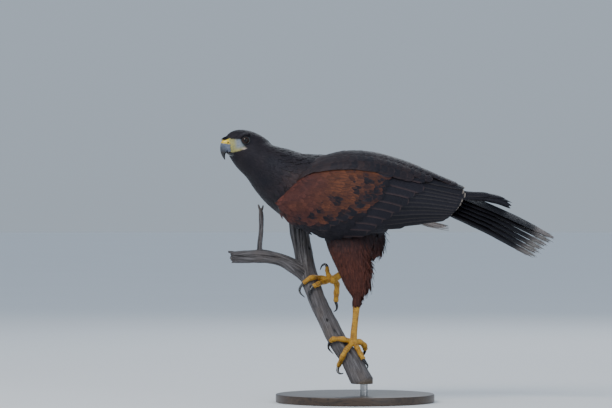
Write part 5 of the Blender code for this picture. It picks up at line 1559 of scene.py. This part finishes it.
def tier(surface, side, roots, tips, width, lift, drop, rows, arch, rng, low):
    """Blades of one tier, each over the next lower: centre lines from roots to tips that arch a little and
    rise from low to lift, less drop for each, with tips rounded to half ellipses."""
    count = len(roots)
    tips = tips + rng.normal(0, 0.7, (count, 2))
    middle = roots * 0.45 + tips * 0.55
    middle[:, 1] += arch * np.sin(np.pi * np.arange(count) / count)
    bend = min(0.62 * width / np.linalg.norm(tips - roots, axis=1).mean(), 0.6)
    shares = np.concatenate([np.linspace(0, 1 - bend, rows - 8),
                             1 - bend + bend * np.sin(np.linspace(0, np.pi / 2, 9))[1:]])
    tip = np.clip((shares - 1 + bend) / bend, 0, 1)
    outline = np.minimum(0.7 + shares, 1) * np.maximum(np.sqrt(1 - tip ** 2), 0.08)
    lines = np.array([through((a, b, c), 200)[np.round(shares * 199).astype(int)] for a, b, c in
                      zip(roots, middle, tips)])
    lines = wing_spot(lines[..., 0], wing_down(lines[..., 0], lines[..., 1]), side)
    _, normals = settle_on(surface, lines)
    rise = low + (lift - low - drop * np.arange(count)[:, None]) * shares ** 0.8
    widths = width * (1 + 0.04 * rng.normal(size=count))
    return blades(surface, lines, normals, widths, outline, rise, QUILL_DEPTH, 7, 0.03, -0.09 * side)


def wing_patch(x, z):
    """Where x, z lies on the unwrap of a wing's own face."""
    down = np.clip(wing_down(x, z), 0, 1)
    return np.stack([0.02 + 0.96 * (x + 116) / 352, 0.02 + 0.96 * down], axis=-1)


def pale_edges(base, across, along, reach, edge_share, tip_share, colour):
    """Tints with a thin paler fringe: along the tip by tip_share and down the edges by edge_share."""
    length = along.max(axis=1, keepdims=True)
    wide = np.abs(across) / np.maximum(np.abs(across).max(axis=(1, 2), keepdims=True), 1e-6)
    at_tip = smooth_step(0, 1, 1 - (length - along) / reach)
    share = np.clip(at_tip * tip_share + smooth_step(0.86, 1.0, wide) * edge_share, 0, 1)
    return base[:, None, None] * (1 - share[..., None]) + colour * share[..., None]


def tier_parts(tiers, surface, side, rng, rows, low, tone, reach, colour):
    """Each tier's blades with their tints, drawn between the two tones and edged with the colour."""
    parts = []
    for count, ends, tip_places, width, lift, drop, arch, on_sides, on_tip in tiers:
        roots = np.linspace(*ends, count)
        tips = tip_line(tip_places, count)
        ring, across, along = tier(surface, side, roots, tips, width, lift, drop, rows, arch, rng, low)
        base = FLIGHT * rng.uniform(*tone, (count, 1))
        tints = pale_edges(base, across, along, reach, on_sides, on_tip, colour)
        parts.append((ring, across, along, tints, wing_patch(roots[:, 0], roots[:, 1])))
    return parts


def make_flight(side, name, seed):
    """Primaries, secondaries over them, and the greater and median coverts over those."""
    surface = wing_surface(side)
    rng = np.random.default_rng(seed)
    parts = []
    shares, outline = outline_rows(PRIMARY_TIP, 26)
    for path, lift in PRIMARIES:
        flat = through(path, 60)[np.round(shares * 59).astype(int)]
        line = wing_spot(flat[:, 0], wing_down(flat[:, 0], flat[:, 1]), side)[None]
        _, normals = settle_on(surface, line)
        rise = PRIMARY_ROOT + (lift - PRIMARY_ROOT) * smooth_step(0.35, 0.9, shares)[None]
        width = np.array([PRIMARY_WIDTH])
        ring, across, along = blades(surface, line, normals, width, outline, rise, QUILL_DEPTH, 7, 0.05)
        tints = pale_edges(FLIGHT[None] * rng.uniform(0.8, 1.2), across, along, 2.0, 0.05, 0.12, BUFF)
        parts.append((ring, across, along, tints, wing_patch(flat[:1, 0], flat[:1, 1])))
    parts += tier_parts(QUILLS, surface, side, rng, 22, -1.0, (0.7, 1.5), 2.6, BUFF)
    feather_piece(f"flight_feathers_{name}", parts, dark_finish, "dark_plumage")
    parts = tier_parts(LARGE_COVERTS, surface, side, rng, 20, 0.2, (0.92, 1.61), 1.8, BROWN * 4)
    feather_piece(f"greater_coverts_{name}", parts, dark_finish, "dark_plumage")
    return surface


def make_coverts(side, name, surface, seed):
    """Rows of small coverts over the shoulder, laid like tiles with their heads forward. Inside the patch
    they are chestnut, and those near a spot have a dark middle; the rest are dark."""
    rng = np.random.default_rng(seed)
    x, z = np.meshgrid(np.arange(-114, 62, 4.3), np.arange(236, 350, 3.8), indexing="ij")
    x = x + np.where(np.arange(z.shape[1]) % 2, 2.1, 0.0)[None]
    x, z = x.ravel() + rng.normal(0, 0.6, x.size), z.ravel() + rng.normal(0, 0.6, x.size)
    top, bottom, _, _ = wing_table(x)
    reach = np.interp(z, (236, 262, 275, 300, 328, 350), (-34, -12, 4, 27, 40, 42))
    highest = np.minimum(look_up(PATCH_TOP, x) + 1.5, top - 1)
    keep = (z > bottom + 3.5) & (z < highest) & (x < reach)
    x, z = x[keep], z[keep]
    count = len(x)
    down = np.clip(wing_down(x, z), 0, 1)
    slope = np.interp(x, (-114, -97, -75, -45, -10, 30, 60), (-1.5, -0.75, -0.42, -0.30, -0.02, 0.20, 0.28))
    tilt = -0.16 + (slope + 0.16) * smooth_step(0.35, 1.0, down) + rng.normal(0, 0.10, count)
    front = 1 - smooth_step(-104, -40, x)
    length = (16.0 - 6.0 * front) * rng.uniform(0.85, 1.15, count)
    width = (9.0 - 3.2 * front) * rng.uniform(0.9, 1.1, count)
    shares, lance = np.transpose(LANCE_TIP)
    outline = lance * 0.45 + look_up(ROUND_TIP, shares) * 0.55
    run = length[:, None] * (shares - 0.15)
    flat_x, flat_z = x[:, None] + run * np.cos(tilt)[:, None], z[:, None] + run * np.sin(tilt)[:, None]
    lines = wing_spot(flat_x, np.clip(wing_down(flat_x, flat_z), -0.05, 1.04), side)
    _, normals = settle_on(surface, lines)
    base = np.interp(x, (-114, -70, 0, 50), (0.0, 1.6, 3.2, 4.2))
    base = base * (0.55 + 0.45 * smooth_step(0, 14, look_up(PATCH_TOP, x) - z))
    rise = base[:, None] + (0.7 + 0.35 * rng.random(count))[:, None] * shares ** 1.1
    ring, across, along = blades(surface, lines, normals, width, outline, rise, 0.25, 5, 0.06)
    tip_x, tip_z = x + length * 0.55 * np.cos(tilt), z + length * 0.55 * np.sin(tilt)
    spot = np.stack([tip_x, tip_z, 0 * x], axis=1)
    inside = np.minimum(tip_z - look_up(PATCH_LOW, tip_x), look_up(PATCH_TOP, tip_x) - tip_z)
    red = smooth_step(-3, 3, inside + 3.5 * rough(spot, 9.0, 51))
    near = near_spot(tip_x + 2.0 * rough(spot, 6.0, 54), tip_z + 2.0 * rough(spot, 6.0, 55))
    tone = np.clip(smooth_step(-80, -20, x) + 0.35 * rough(spot, 15.0, 52), 0, 1)[:, None]
    warm = (CHESTNUT_FRONT + (CHESTNUT - CHESTNUT_FRONT) * tone) * rng.uniform(0.72, 1.25, (count, 1))
    dark = FLIGHT * rng.uniform(0.8, 1.6, (count, 1))
    wide = np.abs(across) / (width[:, None, None] / 2)
    reach = along / length[:, None, None]
    middle = smooth_step(1.05, 0.40, np.hypot(wide * 0.9, (reach - 0.62) * 1.6))
    middle = middle * np.clip(near * 1.9 - 0.35, 0, 1)[:, None, None]
    shaft = np.exp(-(wide / 0.2) ** 2) * 0.45 * smooth_step(-70, -20, x)[:, None, None]
    mix = (red[:, None, None] * (1 - np.maximum(middle, shaft)))[..., None]
    tints = dark[:, None, None] * (1 - mix) + warm[:, None, None] * mix * (0.85 + 0.3 * reach[..., None])
    fringe = smooth_step(0.75, 1.0, wide) * (1 - red)[:, None, None] * 0.5
    tints = tints + (BROWN - FLIGHT) * fringe[..., None]
    parts = [(ring, across, along, tints, wing_patch(x, z))]
    feather_piece(f"shoulder_coverts_{name}", parts, rufous_finish, "chestnut_plumage")


def near_spot(x, z):
    """How near each place is to the middle of a dark spot, from 0 to 1."""
    spot_x, spot_z, radius = np.transpose(SPOTS)
    apart = (x[:, None] - spot_x) ** 2 + (z[:, None] - spot_z) ** 2
    return np.exp(-apart / (1.25 * radius) ** 2).max(axis=1)


def make_scapulars(side, name, surface, seed):
    """Broad dark feathers in rows along the wing's top edge, the upper rows over the lower."""
    rng = np.random.default_rng(seed)
    parts = []
    for number, (offset, first, last, step) in enumerate(SCAPULAR_ROWS):
        x = np.arange(first, last, step)
        x = x + rng.normal(0, 0.8, len(x))
        length = np.interp(x, (-92, -40, 40, 130), (19, 32, 40, 46)) * rng.uniform(0.93, 1.07, len(x))
        start, end = (np.stack([at, wing_table(at)[0] - offset * look_up(SCAPULAR_CROWDING, at)], axis=1)
                      for at in (x - length * 0.5, x + length * 0.5))
        shares, outline = outline_rows(BROAD_TIP, 12)
        flat = start[:, None] + (end - start)[:, None] * shares[None, :, None]
        bow = wing_table(flat[..., 0])[0]
        flat[..., 1] = np.minimum(flat[..., 1], bow - 1.2)
        lines = wing_spot(flat[..., 0], np.clip(wing_down(flat[..., 0], flat[..., 1]), 0.0, 1), side)
        _, normals = settle_on(surface, lines)
        low = np.interp(x, (-90, -40, 60, 130), (1.2, 2.8, 2.6, 0.4)) + number * 0.25
        rise = low[:, None] + np.interp(x, (-90, -40), (1.4, 2.4))[:, None] * shares[None]
        width = np.interp(x, (-92, -60, -30, 60, 130), (8, 11, 16, 17, 14)) * rng.uniform(0.93, 1.07, len(x))
        ring, across, along = blades(surface, lines, normals, width, outline, rise, 0.3, 5, 0.08)
        brown = np.clip(np.interp(x, (-90, -50, 0), (0.75, 0.45, 0.18)) + 0.2 * rng.normal(size=len(x)), 0, 1)
        tint = FLIGHT * 1.2 + (BROWN * 0.8 - FLIGHT) * brown[:, None]
        tints = pale_edges(tint, across, along, 1.6, 0.25, 0.35, BROWN * 2)
        parts.append((ring, across, along, tints, wing_patch(x, wing_table(x)[0] - offset)))
    feather_piece(f"scapulars_{name}", parts, dark_finish, "dark_plumage")


def cape_surface():
    """The saddle between the two wings' top edges, a shallow valley that follows them back to the tail."""
    x, share = np.meshgrid(np.linspace(-62, 134, 80), np.linspace(-1.1, 1.1, 24), indexing="ij")
    top, _, wide, _ = wing_table(x)
    dip = np.interp(x, (-60, 0, 40, 80, 134), (4, 2.0, 4.0, 6.0, 5.0))
    y = share * wide * math.cos(TOP_ANGLE) ** FLANK_SQUARE
    points = np.stack([x, y, top - 1.0 - dip * (1 - share ** 2)], axis=-1).reshape(-1, 3)
    return surface_of(points, grid_faces(80, 24))


def make_cape():
    """Long mantle feathers laid along the saddle, so that back and folded wings read as one."""
    rng = np.random.default_rng(77)
    surface = cape_surface()
    x, share = np.meshgrid(np.arange(-50, 118, 6.5), np.linspace(-0.95, 0.95, 7), indexing="ij")
    share = share + np.where(np.arange(x.shape[0]) % 2, 0.07, -0.07)[:, None]
    x, share = x.ravel() + rng.normal(0, 0.9, x.size), share.ravel()
    length = np.interp(x, (-50, 40, 118), (24, 32, 36)) * rng.uniform(0.9, 1.1, len(x))
    shares, outline = outline_rows(BROAD_TIP, 10)
    flat_x = x[:, None] + length[:, None] * (shares - 0.3)
    top, _, wide, _ = wing_table(flat_x)
    spots = np.stack([flat_x, share[:, None] * wide * math.cos(TOP_ANGLE) ** FLANK_SQUARE, top - 3], axis=-1)
    lines, normals = settle_on(surface, spots)
    rise = np.interp(x, (-50, -20, 118), (-3.0, 0.2, 0.6))[:, None] + 1.6 * shares[None]
    width = 12.0 * rng.uniform(0.9, 1.1, len(x))
    ring, across, along = blades(surface, lines, normals, width, outline, rise, 0.3, 5, 0.06)
    tint = (DARK * 1.3 + (BROWN - DARK) * 0.15) * rng.uniform(0.75, 1.3, (len(x), 1))
    tints = pale_edges(tint, across, along, 1.8, 0.2, 0.35, BROWN * 1.6)
    patch = np.stack([0.02 + 0.96 * (x + 62) / 200, 0.5 + 0.45 * share], axis=1)
    feather_piece("mantle_feathers", [(ring, across, along, tints, patch)], dark_finish, "dark_plumage")


make_cape()
for side, name, seed in ((-1, "left", 61), (1, "right", 71)):
    make_plate(side, name)
    wing_face = make_flight(side, name, seed)
    make_coverts(side, name, wing_face, seed + 1)
    make_scapulars(side, name, wing_face, seed + 2)


# The tail: twelve long black feathers with frayed grey-white tips, in a low roof with the middle pair on top.
# Short white coverts overlap their roots above and below.

TAIL_PAIRS = 6
TAIL_ENDS = (  # the middle feather and the outermost one, at five places from root to tip
    ((100, 2.8, 304), (102, 7, 298)),
    ((138, 3.5, 299), (136, 19, 279)),
    ((178, 4.2, 284), (172, 31, 262)),
    ((228, 4.5, 262), (214, 40, 239)),
    ((285.7, 4.8, 234), (259, 46, 214)),
)
TAIL_WIDTH = 19.0
TAIL_STEP = 1.7
TAIL_CROSS = 0.8
ROOF_NORMAL = np.array([0.42, 0.52, 0.8])
TAIL_TOP = ((0, 0.45), (0.1, 0.8), (0.4, 1.0), (0.78, 1.0), (0.88, 0.80), (0.96, 0.46), (1.0, 0.12))
TAIL_SIDE = ((0, 0.45), (0.1, 0.8), (0.35, 1.0), (0.52, 0.92), (0.66, 0.56), (0.86, 0.44), (0.96, 0.32),
             (1.0, 0.12))
ASH = np.array([0.17, 0.145, 0.135])
WHITE = np.array([0.50, 0.47, 0.43])
BLACK = np.array([0.0058, 0.0046, 0.0058])
UPPER_COVERTS = ((112, 300, 13, 26), (104, 303, 15, 26), (97, 306, 16, 24))  # x, z, half spread, length
UNDER_COVERTS = ((82, 262, 48, -13), (92, 259, 44, -12), (76, 266, 40, -11))  # x, z, length, fall


def between(ends, share):
    """The point at that share of the way from the first end to the last."""
    first, last = np.asarray(ends, float)
    return first + (last - first) * share


def make_tail():
    """Twelve main vanes, and thin split barbs at their pale tips."""
    rng = np.random.default_rng(81)
    parts = []
    for side in (-1, 1):
        for number in range(TAIL_PAIRS):
            share = number / (TAIL_PAIRS - 1)
            facing = unit(ROOF_NORMAL) * (1, side, 1)
            path = np.array([between(pair, share) for pair in TAIL_ENDS]) * (1, side, 1)
            path = path - facing * TAIL_STEP * (number - 3) - (0, 0, TAIL_CROSS * side)
            ring, across, along = free_blades([path], facing[None], np.array([TAIL_WIDTH]),
                                              TAIL_SIDE if number else TAIL_TOP, 40, 9, 0.8, 0.05)
            length = along.max()
            wavy = along + 3.0 * np.sin(across * 1.3 + number)
            pale = smooth_step(length - 34, length - (10 if number else 22), wavy)
            tints = BLACK * (1 - pale[..., None]) + ASH * pale[..., None]
            patch = np.array([[0.06 + 0.88 * (number + (0.5 if side > 0 else 0)) / TAIL_PAIRS, 0.5]])
            parts.append((ring, across, along, tints, patch))
            direction = unit(path[-1] - path[-2])
            across_way = unit(np.cross(direction, facing))
            count = 9 if number else 6
            spread = np.linspace(-0.85, 0.85, count) + rng.normal(0, 0.05, count)
            half = TAIL_WIDTH * 0.26
            behind = direction * (16 + 8 * np.abs(spread))[:, None]
            starts = path[-1] - behind + across_way * (spread * half)[:, None]
            reach = 15 + 8 * rng.random(count)
            drift = spread * 1.2 + rng.normal(0, 0.7, count)
            ends = starts + direction * reach[:, None] + across_way * drift[:, None]
            middles = (starts + ends) / 2 + facing * rng.normal(0, 0.3, count)[:, None]
            paths = np.stack([starts, middles, ends], axis=1)
            facings = np.tile(facing, (count, 1))
            ring, across, along = free_blades(paths, facings, np.full(count, 1.0), LOCK_TIP, 8, 3, 0.35, 0.1)
            tints = WHITE * 0.6 * rng.uniform(0.4, 1.1, (count, 1, 1, 1))
            parts.append((ring, across, along, tints, np.repeat(patch, count, 0)))
    feather_piece("tail_feathers", parts, dark_finish, "dark_plumage", ["tail"])


def covert_row(y, starts, run, facing, arch, width, profile, tints, patch_up):
    """A row of short feathers from their starts, each bowed outwards in the middle by arch."""
    facing, ends = unit(facing), starts + run
    paths = np.stack([starts, (starts + ends) / 2 + facing * arch, ends], axis=1)
    blade = free_blades(paths, facing, np.full(len(y), width), profile, 12, 5, 0.5, 0.12)
    return (*blade, tints, np.stack([0.5 + 0.02 * y, np.full(len(y), patch_up)], axis=1))


def make_tail_coverts():
    """Rows of short white feathers over the tail's root, and longer ash ones under it."""
    rng = np.random.default_rng(91)
    parts = []
    for row, (x, z, spread, length) in enumerate(UPPER_COVERTS):
        y, one = np.linspace(-spread, spread, 9), np.ones(9)
        starts = np.stack([x * one, y, z + row * 0.8 - np.abs(y) * 0.55], axis=1)
        run = np.stack([length * 0.93 * one, y * 0.25, -length * 0.34 * one], axis=1)
        facing = np.stack([0.35 * one, y * 0.045, one], axis=1)
        tints = WHITE * rng.uniform(0.8, 1.05, (9, 1, 1, 1))
        parts.append(covert_row(y, starts, run, facing, 0.8, 9.0, BROAD_TIP, tints, 0.1 + row * 0.05))
    for row, (x, z, length, fall) in enumerate(UNDER_COVERTS):
        y, one = np.linspace(-15, 15, 7) + (row % 2) * 2, np.ones(7)
        starts = np.stack([x * one, y * 0.8, z + np.abs(y) * 0.3], axis=1)
        run = np.stack([length * one, y * 0.25, fall + np.abs(y) * 0.2], axis=1)
        facing = np.stack([-0.3 * one, y * 0.03, -one], axis=1)
        tints = ASH * 1.9 * rng.uniform(0.75, 1.15, (7, 1, 1, 1))
        parts.append(covert_row(y, starts, run, facing, 1.2, 11.0, LOCK_TIP, tints, 0.8 + row * 0.05))
    feather_piece("tail_coverts", parts, dark_finish, "dark_plumage")


make_tail()
make_tail_coverts()
